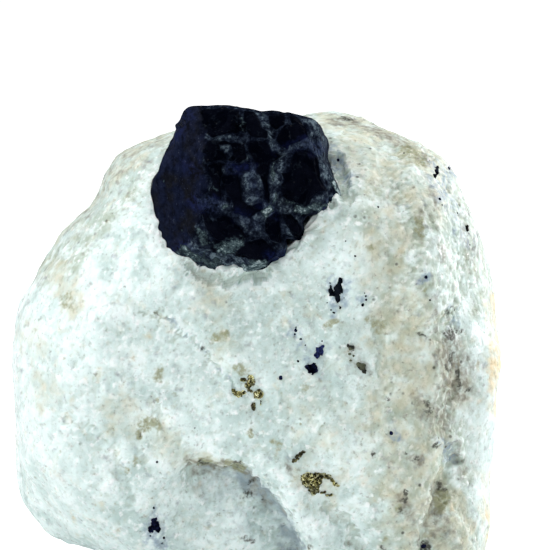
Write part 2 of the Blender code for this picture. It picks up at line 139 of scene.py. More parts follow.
world = bpy.data.worlds.new("tent")
world.use_nodes = True
sky = world.node_tree
towards = add_node(sky, "ShaderNodeTexCoord")
axes = add_node(sky, "ShaderNodeSeparateXYZ", {0: towards.outputs["Generated"]})
behind = add_node(sky, "ShaderNodeMapRange", {"Value": axes.outputs["Y"],
                                              "From Min": SKY_TURN[0], "From Max": SKY_TURN[1],
                                              "To Min": SKY_LIGHT[0], "To Max": SKY_LIGHT[1]})
sky.nodes["Background"].inputs["Color"].default_value = SKY_WHITE
straight = add_node(sky, "ShaderNodeLightPath")
strength = maths(sky, "MAXIMUM", behind.outputs["Result"], straight.outputs["Is Camera Ray"])
sky.links.new(strength, sky.nodes["Background"].inputs["Strength"])
bpy.context.scene.world = world


def paper_material():
    """Matt white paper, lit until the camera sees it burnt out."""
    material, tree, shader = new_material("paper")
    fibre = add_node(tree, "ShaderNodeTexNoise", {"Scale": 900.0, "Detail": 4.0})
    tone = add_node(tree, "ShaderNodeMapRange", {"Value": fibre.outputs["Fac"], "To Min": 0.97})
    colour = add_node(tree, "ShaderNodeMix", {"Factor": tone.outputs["Result"], 6: (*PAPER_SHADE, 1.0),
                                              7: (*PAPER_WHITE, 1.0)}, data_type="RGBA")
    tree.links.new(colour.outputs[2], shader.inputs["Base Color"])
    shader.inputs["Roughness"].default_value = 0.9
    shader.inputs["Specular IOR Level"].default_value = 0.1
    seen = add_node(tree, "ShaderNodeLightPath")
    shader.inputs["Emission Color"].default_value = (1.0, 1.0, 1.0, 1.0)
    tree.links.new(maths(tree, "MULTIPLY", seen.outputs["Is Camera Ray"], PAPER_CLIP),
                   shader.inputs["Emission Strength"])
    return material


bpy.ops.mesh.primitive_grid_add(x_subdivisions=4, y_subdivisions=4, size=PAPER_WIDTH)
paper = bpy.context.object
paper.name = "paper"
paper.data.materials.append(paper_material())


# The large lazurite crystal: a blocky dodecahedron, near-black blue, grown half into the marble.
# Its left face is a natural satin one. Its front is broken into glassy blocks, with paler
# grey-blue cracks between them and a little calcite left on it low down.
CRYSTAL_STEP = 0.30
# What is bare of marble, how far forward: only this part is made finer
BARE_DEPTH = 0.4
BARE_FRONT = -6.0
FRONT_THICKNESS = 6.0
# The flat breaks on the broken blocks: their size, how high they lean, their seed
BROKEN_BLOCKS = [(3.1, 0.55, 1.7), (1.25, 0.30, 5.9), (0.55, 0.13, 8.3)]
BREAK_BORDER = 0.15
FACE_RIPPLE = 0.05
BROKEN_SUNK = 0.08
# Places below are in picture pixels (right, down), as the camera sees the front
CRYSTAL_CENTRE = (245, 190)
CRYSTAL_OUTLINE = [
    (193, 105), (207, 105), (241, 107), (261, 111), (294, 113), (311, 117), (321, 125), (325, 136),
    (327, 149), (327, 159), (332, 169), (336, 177), (342, 187), (345, 196), (334, 205), (322, 215),
    (308, 216), (304, 223), (306, 233), (303, 241), (287, 240), (288, 248), (286, 258), (273, 263),
    (263, 270), (241, 272), (231, 276), (224, 276), (207, 271), (196, 264), (188, 258), (178, 256),
    (169, 250), (164, 249), (165, 245), (160, 240), (161, 233), (157, 229), (159, 222), (155, 216),
    (153, 204), (150, 190), (152, 180), (158, 171),
    (168, 146), (176, 130), (183, 110),
]
DARK_BLOCKS = [
    [(190, 112), (222, 107), (240, 110), (240, 131), (226, 134), (213, 138), (199, 129), (192, 121)],
    [(244, 111), (254, 112), (260, 120), (262, 128), (268, 131), (267, 138), (251, 136), (245, 130)],
    [(269, 116), (284, 113), (285, 124), (276, 130), (270, 126)],
    [(288, 115), (297, 116), (301, 124), (291, 123)],
    [(276, 140), (284, 126), (297, 123), (306, 128), (309, 137), (300, 142), (290, 145), (287, 150),
     (281, 146)],
    [(201, 143), (215, 141), (240, 142), (243, 152), (233, 153), (231, 145), (220, 145), (221, 152),
     (228, 160), (206, 162), (202, 152)],
    [(243, 143), (247, 158), (240, 162), (228, 160)],
    [(248, 142), (262, 141), (270, 144), (272, 153), (281, 157), (276, 161), (269, 163), (267, 180),
     (270, 204), (265, 200), (262, 180), (257, 172), (255, 160), (248, 152)],
    [(208, 164), (221, 163), (222, 176), (220, 184), (222, 196), (216, 201), (210, 194), (212, 180),
     (207, 172)],
    [(222, 177), (239, 173), (241, 190), (242, 200), (249, 206), (262, 202), (264, 210), (250, 217),
     (234, 214), (232, 200), (226, 190)],
    [(231, 164), (249, 163), (250, 172), (240, 173)],
    [(291, 160), (297, 150), (312, 151), (318, 157), (319, 170), (321, 179), (327, 191), (318, 192),
     (312, 196), (309, 205), (304, 207), (296, 203), (285, 197), (280, 190), (284, 181), (281, 173),
     (289, 172)],
    [(199, 211), (206, 211), (212, 222), (220, 216), (231, 217), (240, 229), (248, 236), (243, 240),
     (230, 238), (219, 241), (211, 235), (206, 225)],
    [(213, 238), (220, 240), (222, 247), (215, 252), (210, 249)],
    [(266, 218), (277, 211), (280, 222), (281, 243), (270, 240), (264, 230)],
    [(283, 214), (292, 214), (298, 220), (304, 231), (302, 241), (296, 239), (289, 230), (285, 224)],
    [(245, 242), (262, 239), (273, 247), (277, 254), (268, 262), (255, 264), (245, 258), (233, 256),
     (240, 248)],
]
BLOCK_EDGE = 2.2
BLOCK_WANDER = 1.7
BLOCK_RISE = 0.30
# Where the natural face ends and the broken front starts, and how far that border wanders
NATURAL_EDGE = [(200, 100), (201, 150), (206, 188), (196, 210), (190, 240), (176, 262)]
NATURAL_WANDER = 6.0
NATURAL_BORDER = 0.9
# The rim is fitted to the outline in this many shares of a turn, then eased
RIM_SHARES = 180
RIM_EASING = 4
RIM_WIDTH = (0.86, 0.94)
RIDGE_HEIGHT = 0.09


def points_of(mesh):
    flat = np.empty(len(mesh.vertices) * 3)
    mesh.vertices.foreach_get("co", flat)
    return flat.reshape(-1, 3) / MM


def normals_of(mesh):
    flat = np.empty(len(mesh.vertices) * 3)
    mesh.vertices.foreach_get("normal", flat)
    return flat.reshape(-1, 3)


def put_points(mesh, points):
    mesh.vertices.foreach_set("co", (points * MM).ravel())
    mesh.update()


def edges_of(mesh):
    flat = np.empty(len(mesh.edges) * 2, int)
    mesh.edges.foreach_get("vertices", flat)
    return flat.reshape(-1, 2)


def even_mesh(shape, name, step):
    """The solid in a bmesh, remade in small even faces of about the given size."""
    rough = bpy.data.meshes.new(name)
    shape.to_mesh(rough)
    shape.free()
    carrier = add_to_scene(name, rough)
    remesh = carrier.modifiers.new("even", "REMESH")
    remesh.mode = "VOXEL"
    remesh.voxel_size = step * MM
    seen = carrier.evaluated_get(bpy.context.evaluated_depsgraph_get())
    mesh = bpy.data.meshes.new_from_object(seen)
    mesh.name = name
    bpy.data.objects.remove(carrier)
    return mesh


def welded(node):
    """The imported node's solid as a bmesh with its corners joined."""
    shape = bmesh.new()
    shape.from_mesh(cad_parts[node].data)
    bmesh.ops.remove_doubles(shape, verts=shape.verts, dist=1e-6)
    return shape


def smoothed(points, edges, rounds, free, share=0.5):
    """The free points drawn towards the middle of their neighbours, again and again."""
    a, b = edges.T
    count = np.bincount(edges.ravel(), minlength=len(points))
    for _ in range(rounds):
        middle = np.stack([(np.bincount(a, axis[b], len(points))
                            + np.bincount(b, axis[a], len(points))) / count
                           for axis in points.T], axis=1)
        points = points + (share * free)[:, None] * (middle - points)
    return points


def refined(mesh, wanted):
    """Splits each face in four where all its corners are wanted."""
    shape = bmesh.new()
    shape.from_mesh(mesh)
    shape.verts.ensure_lookup_table()
    faces = {face for face in shape.faces if all(wanted[v.index] for v in face.verts)}
    edges = [edge for edge in shape.edges if any(face in faces for face in edge.link_faces)]
    bmesh.ops.subdivide_edges(shape, edges=edges, cuts=1, use_grid_fill=True)
    shape.to_mesh(mesh)
    shape.free()


def ripple(points, size, seed=0.0):
    """Smooth unevenness from about -1 to 1, in waves of the given size."""
    return np.array([noise.noise(place) for place in (points / size + seed).tolist()])


def flat_breaks(points, size, seed=0.0, border=0.25):
    """Height of small flat faces that lean every way, in shares of their size."""
    half = Vector((0.5, 0.5, 0.5))
    heights = []
    for place in (points / size + seed).tolist():
        place = Vector(place)
        away, centres = noise.voronoi(place)
        rises = [(noise.cell_vector(c * 31.7) - half).dot(place - c) + 0.3
                 * (noise.cell_vector(c * 17.1).x - 0.5) for c in centres[:2]]
        share = 0.5 * max(0.0, 1.0 - (away[1] - away[0]) / border)
        heights.append(rises[0] * (1.0 - share) + rises[1] * share)
    return np.array(heights)


def in_picture(points):
    """Where the camera sees each point, in picture pixels (right, down)."""
    away = points - np.array(eye)
    scale = CAMERA_AWAY / (away @ np.array(view_line)) / PIXEL
    middle = PICTURE_SIZE / 2
    return np.stack([middle + away[:, 0] * scale, middle - away @ np.array(picture_up) * scale], axis=1)


def wandering(points, reach):
    """The picture places of points, shifted unevenly by up to about reach pixels."""
    shift = [reach * (ripple(points, 1.6, seed) + 0.6 * ripple(points, 0.55, seed + 5.0))
             for seed in (2.6, 8.2)]
    return in_picture(points) + np.stack(shift, axis=1)


def painted(places, marks):
    """How strongly each place is marked. A mark is a path, its half width and its strength."""
    strength = np.zeros(len(places))
    for path, width, power in marks:
        away = np.full(len(places), np.inf)
        for start, end in zip(path, path[1:] or path):
            along = np.subtract(end, start)
            t = (places - start) @ along / max(along @ along, 1e-9)
            near = start + np.clip(t, 0.0, 1.0)[:, None] * along
            away = np.minimum(away, np.hypot(*(places - near).T))
        strength = np.maximum(strength, power * np.clip(1.5 - away / width, 0.0, 1.0))
    return strength


def depth_inside(places, outline):
    """How many pixels inside an outline each place is; less than zero outside."""
    away = np.full(len(places), np.inf)
    inside = np.zeros(len(places), bool)
    for start, end in zip(outline, outline[1:] + outline[:1]):
        along = np.subtract(end, start)
        t = np.clip((places - start) @ along / (along @ along), 0.0, 1.0)
        away = np.minimum(away, np.hypot(*(places - start - t[:, None] * along).T))
        level = np.clip((places[:, 1] - start[1]) / (along[1] or 1e-9), 0.0, 1.0)
        crosses = (start[1] > places[:, 1]) != (end[1] > places[:, 1])
        inside ^= crosses & (places[:, 0] < start[0] + level * along[0])
    return np.where(inside, away, -away)


def keep_marks(mesh, name, strength):
    mesh.attributes.new(name, "FLOAT", "POINT").data.foreach_set("value", strength)


def tree_of(mesh):
    """A search tree over a mesh, in metres."""
    shape = bmesh.new()
    shape.from_mesh(mesh)
    tree = BVHTree.FromBMesh(shape)
    shape.free()
    return tree


def turned_about(places, centre):
    """Angle and distance of each picture place from a centre."""
    away = np.subtract(places, centre)
    return np.arctan2(away[:, 1], away[:, 0]), np.hypot(*away.T)


def fitted_outline(points, edges, bare):
    """Draws the crystal's rim to its outline in the picture, and leaves its middle."""
    angle, reach = turned_about(in_picture(points), CRYSTAL_CENTRE)
    share = ((angle / math.tau) % 1.0 * RIM_SHARES).astype(int)
    rim = np.array([reach[bare & (share == i)].max() for i in range(RIM_SHARES)])
    rim = (np.roll(rim, 1) + 2.0 * rim + np.roll(rim, -1)) / 4.0
    middles = (np.arange(RIM_SHARES) + 0.5) / RIM_SHARES * math.tau
    now = np.interp(angle % math.tau, middles, rim, period=math.tau)
    outline_angle, outline_reach = turned_about(CRYSTAL_OUTLINE, CRYSTAL_CENTRE)
    order = np.argsort(outline_angle)
    wanted = np.interp(angle, outline_angle[order], outline_reach[order], period=math.tau)
    grow = (wanted / now - 1.0) * np.clip(reach / now, 0.0, 1.0) ** 3
    eye_line = np.stack([np.cos(angle), np.zeros(len(angle)), -np.sin(angle)], axis=1)
    points = points + eye_line * (reach * grow * PIXEL)[:, None]
    inner, outer = RIM_WIDTH
    return smoothed(points, edges, RIM_EASING, np.clip((reach / now - inner) / (outer - inner), 0.0, 1.0))


def ridges(mesh):
    """How sharply the surface stands out at each point, from -1 in a crease to 1 on an edge."""
    points, edges = points_of(mesh), edges_of(mesh)
    broad = smoothed(points, edges, 3, np.ones(len(points)), 1.0)
    return np.clip(((points - broad) * normals_of(mesh)).sum(axis=1) / RIDGE_HEIGHT, -1.0, 1.0)


def in_blocks(places):
    """How far inside the dark blocks each place is, from -1 outside to 1 within."""
    inside = np.max([depth_inside(places, outline) for outline in DARK_BLOCKS], axis=0)
    return np.clip(inside / BLOCK_EDGE, -1.0, 1.0)


def crystal_body():
    mesh = even_mesh(welded("lazurite_crystal"), "lazurite_crystal_broken", CRYSTAL_STEP)
    points = smoothed(points_of(mesh), edges_of(mesh), 3, np.ones(len(mesh.vertices)))
    put_points(mesh, points)
    stone = tree_of(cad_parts["marble_matrix"].data)
    bare = []
    for place in (points * MM).tolist():
        spot, facing, _, _ = stone.find_nearest(place)
        bare.append((Vector(place) - spot).dot(facing) > -BARE_DEPTH * MM and place[1] < BARE_FRONT * MM)
    refined(mesh, np.array(bare))
    points = points_of(mesh)
    places = wandering(points, NATURAL_WANDER)
    edge_x, edge_y = zip(*NATURAL_EDGE)
    from_edge = (places[:, 0] - np.interp(places[:, 1], edge_y, edge_x)) * PIXEL
    facing = normals_of(mesh)
    broken = (np.clip(from_edge / NATURAL_BORDER + 0.3, 0.0, 1.0)
              * np.clip(0.2 - facing[:, 1] * 2.0, 0.0, 1.0))
    rise = FACE_RIPPLE * ripple(points, 1.6, 2.2) - BROKEN_SUNK * broken
    rise += broken * BLOCK_RISE * in_blocks(wandering(points, BLOCK_WANDER)).clip(-0.4, 1.0)
    for size, height, seed in BROKEN_BLOCKS:
        rise += broken * height * flat_breaks(points, size, seed, BREAK_BORDER)
    points += facing * rise[:, None]
    front = points[:, 1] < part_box("lazurite_crystal")[1].y / MM - FRONT_THICKNESS
    put_points(mesh, fitted_outline(points, edges_of(mesh), front & (facing[:, 1] < 0.3)))
    keep_marks(mesh, "broken", broken)
    keep_marks(mesh, "ridge", ridges(mesh))
    return mesh


def new_group(name, inputs, outputs):
    """A node group with its sockets: (group, what it is given, what it makes)."""
    group = bpy.data.node_groups.new(name, "ShaderNodeTree")
    for socket in inputs:
        kind = "NodeSocketVector" if socket == "Place" else "NodeSocketFloat"
        group.interface.new_socket(socket, in_out="INPUT", socket_type=kind)
    for socket in outputs:
        group.interface.new_socket(socket, in_out="OUTPUT", socket_type="NodeSocketFloat")
    return group, add_node(group, "NodeGroupInput"), add_node(group, "NodeGroupOutput")


def calcite_sugar_group():
    """The grain of crystalline calcite: tone and tilt of each grain, its relief, its glints."""
    group, given, made = new_group("calcite_sugar", ["Place", "Grain Size"], ["Tone", "Relief", "Glint"])
    scale = maths(group, "DIVIDE", 1.0, given.outputs["Grain Size"])
    place = add_node(group, "ShaderNodeVectorMath", {0: given.outputs["Place"], "Scale": scale},
                     operation="SCALE")
    wander = add_node(group, "ShaderNodeTexNoise", {"Vector": place.outputs[0], "Scale": 1.4, "Detail": 2.0})
    bent = add_node(group, "ShaderNodeVectorMath", {0: wander.outputs["Color"], 1: (0.9, 0.9, 0.9),
                                                    2: place.outputs[0]}, operation="MULTIPLY_ADD")
    cell = add_node(group, "ShaderNodeTexVoronoi", {"Vector": bent.outputs[0], "Scale": 1.0})
    from_middle = add_node(group, "ShaderNodeVectorMath", {0: bent.outputs[0], 1: cell.outputs["Position"]},
                           operation="SUBTRACT")
    tilt = add_node(group, "ShaderNodeVectorMath", {0: cell.outputs["Color"], 1: (0.5, 0.5, 0.5)},
                    operation="SUBTRACT")
    leaning = add_node(group, "ShaderNodeVectorMath", {0: from_middle.outputs[0], 1: tilt.outputs[0]},
                       operation="DOT_PRODUCT")
    parts = add_node(group, "ShaderNodeSeparateColor", {0: cell.outputs["Color"]})
    fine = add_node(group, "ShaderNodeTexNoise", {"Vector": place.outputs[0], "Scale": 3.2, "Detail": 3.0})
    relief = maths(group, "MULTIPLY_ADD", fine.outputs["Fac"], 0.35, leaning.outputs["Value"])
    soft = add_node(group, "ShaderNodeTexVoronoi", {"Vector": bent.outputs[0], "Scale": 0.9,
                                                    "Smoothness": 0.7}, feature="SMOOTH_F1")
    soft_parts = add_node(group, "ShaderNodeSeparateColor", {0: soft.outputs["Color"]})
    glint = add_node(group, "ShaderNodeMapRange", {"Value": parts.outputs["Red"], "From Min": 0.86,
                                                   "From Max": 0.90})
    group.links.new(soft_parts.outputs["Green"], made.inputs["Tone"])
    group.links.new(relief, made.inputs["Relief"])
    group.links.new(glint.outputs[0], made.inputs["Glint"])
    return group


def ragged_mark_group():
    """A painted mark whose soft border is broken up along the grains."""
    group, given, made = new_group(
        "ragged_mark", ["Mark", "Place", "Grain Size", "Raggedness", "Softness"], ["Mask"])
    wander = add_node(group, "ShaderNodeTexNoise", {
        "Vector": given.outputs["Place"], "Scale": maths(group, "DIVIDE", 1.0, given.outputs["Grain Size"]),
        "Detail": 3.0})
    centred = maths(group, "SUBTRACT", wander.outputs["Fac"], 0.5)
    torn = maths(group, "MULTIPLY_ADD", centred, given.outputs["Raggedness"], given.outputs["Mark"])
    low = maths(group, "SUBTRACT", 0.5, given.outputs["Softness"])
    high = maths(group, "ADD", 0.5, given.outputs["Softness"])
    mask = add_node(group, "ShaderNodeMapRange", {"Value": torn, "From Min": low, "From Max": high},
                    interpolation_type="SMOOTHSTEP")
    group.links.new(mask.outputs[0], made.inputs["Mask"])
    return group


CALCITE_SUGAR = calcite_sugar_group()
RAGGED_MARK = ragged_mark_group()


def place_in_mm(tree):
    """The place on the specimen in millimetres."""
    coordinates = add_node(tree, "ShaderNodeTexCoord")
    scaled = add_node(tree, "ShaderNodeVectorMath", {0: coordinates.outputs["Object"], "Scale": 1.0 / MM},
                      operation="SCALE")
    return scaled.outputs[0]


def use_group(tree, group, sockets):
    return add_node(tree, "ShaderNodeGroup", sockets, node_tree=group)


def blended(tree, share, under, over):
    """One colour laid over another by a share; either may be a colour or a socket."""
    under, over = (colour if isinstance(colour, bpy.types.NodeSocket) else (*colour, 1.0)
                   for colour in (under, over))
    return add_node(tree, "ShaderNodeMix", {"Factor": share, 6: under, 7: over}, data_type="RGBA").outputs[2]


def scaled_value(tree, value, low, high, to_low=0.0, to_high=1.0):
    return add_node(tree, "ShaderNodeMapRange", {"Value": value, "From Min": low, "From Max": high,
                                                 "To Min": to_low, "To Max": to_high}).outputs[0]


def kept_mark(tree, name):
    """A mark that was kept on the mesh, read back."""
    return add_node(tree, "ShaderNodeAttribute", attribute_name=name).outputs["Fac"]


def noise_value(tree, place, size, detail=3.0):
    return add_node(tree, "ShaderNodeTexNoise", {"Vector": place, "Scale": 1.0 / size,
                                                 "Detail": detail}).outputs["Fac"]


def times(tree, one, other):
    return maths(tree, "MULTIPLY", one, other)


def bumped(tree, shader, height, strength, depth):
    """Small relief that the mesh doesn't carry, in millimetres."""
    bump = add_node(tree, "ShaderNodeBump", {"Height": height, "Strength": strength, "Distance": depth * MM})
    tree.links.new(bump.outputs["Normal"], shader.inputs["Normal"])


def clad(thing, material):
    """Gives a piece its one material."""
    thing.data.materials.clear()
    thing.data.materials.append(material)


# What the front shows, each a path in picture pixels, its half width and its strength: the pale
# cracks between the blocks, the calcite left on them with painted glint highlights among it, and the places
# that glow a purer blue
VEINS = [
    ([(257, 113), (262, 119), (266, 126)], 5.0, 0.9), ([(205, 137), (222, 138), (245, 140)], 3.5, 0.5),
    ([(266, 128), (273, 143), (279, 152)], 4.0, 0.9),
    ([(279, 152), (288, 148), (300, 143), (311, 144)], 4.5, 1.0), ([(298, 116), (308, 122)], 3.5, 0.55),
    ([(313, 119), (321, 132), (324, 144)], 5.5, 1.0),
    ([(311, 144), (319, 152), (326, 165), (333, 182)], 6.5, 0.85),
    ([(282, 156), (276, 164), (270, 176)], 4.0, 0.7), ([(271, 176), (272, 190), (279, 202)], 4.5, 0.85),
    ([(251, 170), (249, 184), (254, 202)], 5.0, 0.8), ([(258, 178), (262, 190)], 3.0, 0.45),
    ([(220, 146), (232, 152)], 5.0, 0.6), ([(234, 157), (250, 159)], 3.2, 0.6),
    ([(224, 170), (236, 166)], 4.0, 0.4), ([(209, 181), (217, 191)], 3.2, 0.75),
    ([(220, 206), (230, 208)], 5.0, 0.8), ([(238, 219), (250, 224), (262, 218), (270, 209)], 6.5, 0.85),
    ([(280, 206), (293, 208)], 6.5, 0.9), ([(246, 228), (258, 236), (262, 230)], 4.5, 0.75),
    ([(283, 226), (291, 233)], 4.0, 0.6), ([(290, 218), (302, 222)], 3.0, 0.4),
    ([(196, 196), (216, 206)], 5.0, 0.55), ([(204, 254), (222, 262), (240, 264)], 8.0, 1.15),
    ([(180, 244), (198, 254)], 6.0, 1.0), ([(262, 256), (280, 250)], 4.0, 0.45),
    ([(300, 196), (318, 206), (330, 200)], 5.0, 0.65),
    ([(192, 110), (180, 125), (172, 146), (163, 166)], 8.0, 0.8), ([(186, 130), (196, 150)], 9.0, 0.4),
    ([(158, 185), (166, 215), (172, 240)], 7.0, 0.3), ([(176, 250), (190, 258)], 5.0, 0.9),
    ([(186, 250), (206, 262), (232, 270)], 6.0, 1.15), ([(228, 110), (247, 112)], 3.0, 0.35),
    ([(286, 180), (296, 182), (306, 178), (316, 190)], 4.0, 0.35), ([(316, 179), (318, 190)], 1.8, 0.8),
    ([(319, 198), (328, 196)], 3.5, 0.8),
]
CALCITE_AND_PAINTED_GLINTS = [
    ([(201, 233), (207, 243)], 6.5, 0.85), ([(222, 248), (238, 243)], 7.5, 0.95),
    ([(265, 213), (271, 209)], 3.4, 1.15), ([(297, 207), (304, 212)], 3.6, 1.1),
    ([(304, 211), (316, 209)], 4.2, 0.9), ([(336, 184), (340, 192)], 4.0, 1.3),
    ([(244, 268), (254, 268), (264, 266)], 5.0, 1.05), ([(206, 255)], 3.5, 0.75),
    # The dot at (225, 206), the streaks at (273, 164), (244, 117), (276, 194) and (212, 183) and the dots at
    # (183, 229) and (165, 181) are painted glint highlights.
    ([(225, 206)], 2.6, 0.85), ([(286, 200), (292, 203)], 2.4, 0.75),
    ([(180, 250), (196, 258), (212, 264)], 5.0, 0.85), ([(273, 164), (272, 178)], 1.6, 0.9),
    ([(244, 117), (244, 130)], 1.5, 0.8), ([(276, 194), (276, 205)], 1.8, 0.8),
    ([(212, 183), (217, 190)], 1.6, 0.75), ([(318, 206), (330, 203)], 3.0, 0.8), ([(183, 229)], 1.4, 0.9),
    ([(165, 181)], 1.5, 0.9), ([(262, 116)], 3.0, 0.7), ([(214, 262), (228, 268)], 4.0, 0.7),
]
BLUE_GLOWS = [
    ([(231, 168), (250, 168)], 6, 0.9), ([(305, 143), (320, 150)], 6, 1.0),
    ([(195, 203), (215, 205)], 7, 0.9), ([(178, 247), (205, 258)], 6, 1.0),
    ([(262, 206), (275, 214)], 5, 0.7), ([(322, 212), (328, 203), (336, 200)], 5, 1.1),
    ([(268, 256), (285, 254)], 5, 0.9), ([(186, 165), (196, 172)], 7, 0.6),
    ([(238, 215), (255, 222)], 6, 0.6), ([(276, 150), (300, 146)], 5, 0.6),
    ([(250, 172), (256, 200)], 4, 0.5), ([(184, 112), (176, 135)], 7, 0.7),
]
MARK_WANDER = 4.5

NAVY = (0.0086, 0.0094, 0.0130)
VIOLET = (0.0072, 0.0104, 0.0265)
WORN_VIOLET = (0.0125, 0.0165, 0.0390)
NIGHT = (0.0005, 0.0009, 0.0029)
DEEP_BLUE = (0.0022, 0.0028, 0.0062)
CRACKLE = (0.0085, 0.0120, 0.0185)
ROYAL_BLUE = (0.0085, 0.0130, 0.0560)
SPARK = (0.10, 0.12, 0.22)
SPARKLE_SIZE = 0.17
# The stone between the blocks, and the calcite with its painted glints, from thin and shaded to thick and
# pale
CRACK_TONES = [
    (0.0, (0.0016, 0.0025, 0.0062)), (0.3, (0.0068, 0.0100, 0.0200)), (0.6, (0.023, 0.033, 0.050)),
    (1.0, (0.125, 0.17, 0.205)),
]
CALCITE_AND_GLINT_TONES = [
    (0.0, (0.006, 0.009, 0.015)), (0.35, (0.024, 0.037, 0.045)), (0.7, (0.080, 0.118, 0.130)),
    (1.0, (0.40, 0.49, 0.51)),
]


def tones(tree, value, steps):
    """A colour read from a ramp of (value, colour)."""
    ramp = add_node(tree, "ShaderNodeValToRGB", {"Fac": value})
    for at, colour in steps[1:-1]:
        ramp.color_ramp.elements.new(at)
    for element, (at, colour) in zip(ramp.color_ramp.elements, steps):
        element.position = at
        element.color = (*colour, 1.0)
    return ramp.outputs["Color"]


def worn_and_edge_lit_value(tree, crumbs, vein, ridge):
    """How pale the stone between the blocks is: crumbly and paler in the veins, with a painted highlight on
    the ridges.
    """
    base = maths(tree, "MULTIPLY_ADD", crumbs, 3.6, -1.52)
    # The ridge weight is a painted highlight along the block edges.
    for mark, weight in ((vein, 0.38), (ridge, 0.18)):
        base = maths(tree, "MULTIPLY_ADD", mark, weight, base)
    return base


def crumbly(tree, place, size, detail, roughness):
    return add_node(tree, "ShaderNodeTexNoise", {"Vector": place, "Scale": size, "Detail": detail,
                                                 "Roughness": roughness}).outputs["Fac"]


def torn_border(tree, mark, crumbs, raggedness, low, high):
    """A mark whose border is torn along the crumbs, from 0 to 1."""
    return scaled_value(tree, maths(tree, "MULTIPLY_ADD", crumbs, raggedness, mark), low, high)


def natural_face(tree, mottle, crumbs, fine):
    """The satin natural face: mottled navy and violet, with a few sparks."""
    colour = blended(tree, scaled_value(tree, mottle, 0.42, 0.58), NAVY, VIOLET)
    colour = blended(tree, scaled_value(tree, crumbs, 0.60, 0.40, 0.0, 0.65), colour, NIGHT)
    colour = blended(tree, scaled_value(tree, fine, 0.66, 0.78, 0.0, 0.4), colour, SPARK)
    worn = times(tree, kept_mark(tree, "vein"), scaled_value(tree, crumbs, 0.40, 0.60))
    return blended(tree, worn, colour, WORN_VIOLET)


def glassy_block(tree, mottle, crumbs):
    """A broken block: almost black, with a net of fine crackle where the mottle turns over."""
    colour = blended(tree, scaled_value(tree, mottle, 0.46, 0.64), NIGHT, DEEP_BLUE)
    from_turn = maths(tree, "ABSOLUTE", maths(tree, "SUBTRACT", mottle, 0.5))
    crackle = times(tree, scaled_value(tree, from_turn, 0.022, 0.004),
                    scaled_value(tree, crumbs, 0.46, 0.60, 0.0, 0.8))
    return blended(tree, crackle, colour, CRACKLE)


def crystal_colour(tree, place, mottle, crumbs, fine):
    """The large crystal: natural face, glassy blocks, worn cracks with a painted highlight on their ridges,
    blue glows, and calcite with painted glints among it.
    """
    stone = tones(tree, worn_and_edge_lit_value(tree, crumbs, kept_mark(tree, "vein"), kept_mark(tree, "ridge")),
                  CRACK_TONES)
    in_block = torn_border(tree, kept_mark(tree, "block"), crumbs, 2.4, 1.05, 1.45)
    stone = blended(tree, in_block, stone, glassy_block(tree, mottle, crumbs))
    on_front = torn_border(tree, kept_mark(tree, "broken"), crumbs, 2.0, 1.3, 1.7)
    colour = blended(tree, on_front, natural_face(tree, mottle, crumbs, fine), stone)
    glow = times(tree, kept_mark(tree, "glow"), scaled_value(tree, crumbs, 0.42, 0.58, 0.0, 0.75))
    colour = blended(tree, glow, colour, ROYAL_BLUE)
    grit = maths(tree, "ADD", crumbly(tree, place, 2.6, 6.0, 0.7), crumbs)
    missing = maths(tree, "MULTIPLY_ADD", times(tree, grit, 0.5), 4.2, -2.65)
    # The calcite mark carries the painted glint highlights too, in the calcite tones.
    calcite_and_glints = maths(tree, "MULTIPLY_ADD", kept_mark(tree, "calcite_and_glints"), 1.15, missing, use_clamp=True)
    return blended(tree, scaled_value(tree, calcite_and_glints, 0.0, 0.15), colour, tones(tree, calcite_and_glints, CALCITE_AND_GLINT_TONES))


def lazurite_material(name, crumb_colour=None):
    """Lazurite: the large marked crystal, or a small crumb of the given colour."""
    material, tree, shader = new_material(name)
    place = place_in_mm(tree)
    mottle = noise_value(tree, place, 2.2, 6.0)
    crumbs = crumbly(tree, place, 1.1, 8.0, 0.74)
    fine = noise_value(tree, place, 0.25, 4.0)
    if crumb_colour:
        colour = blended(tree, scaled_value(tree, crumbs, 0.42, 0.58), NIGHT, crumb_colour)
    else:
        colour = crystal_colour(tree, place, mottle, crumbs, fine)
    tree.links.new(colour, shader.inputs["Base Color"])
    tree.links.new(scaled_value(tree, mottle, 0.3, 0.7, 0.5, 0.3), shader.inputs["Roughness"])
    shader.inputs["Specular IOR Level"].default_value = 0.02
    shader.inputs["IOR"].default_value = 1.12
    sparkle = use_group(tree, CALCITE_SUGAR, {"Place": place, "Grain Size": SPARKLE_SIZE}).outputs["Glint"]
    tree.links.new(times(tree, sparkle, scaled_value(tree, crumbs, 0.58, 0.64, 0.0, 0.5)),
                   shader.inputs["Coat Weight"])
    shader.inputs["Coat Roughness"].default_value = 0.3
    bumped(tree, shader, fine, 0.6, 0.06)
    return material


crystal = add_to_scene("lazurite_crystal_piece", crystal_body())
clad(crystal, lazurite_material("lazurite_broken"))
seen_at = wandering(points_of(crystal.data), MARK_WANDER)
keep_marks(crystal.data, "vein", painted(seen_at, VEINS))
keep_marks(crystal.data, "calcite_and_glints", painted(seen_at, CALCITE_AND_PAINTED_GLINTS))
keep_marks(crystal.data, "glow", painted(seen_at, BLUE_GLOWS))
keep_marks(crystal.data, "block", in_blocks(wandering(points_of(crystal.data), BLOCK_WANDER)))
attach(crystal, "root")
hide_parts("lazurite_crystal")


# The marble: a broken piece of white, sugary calcite marble, rounded by weathering, that
# everything else grew in. Its grains are about a millimetre across and let light in. Iron has
# stained it tan in places, and a little blue haze surrounds the lazurite.
MARBLE_STEP = 0.62
MARBLE_EASING = 9
GRAIN_SIZE = 1.0
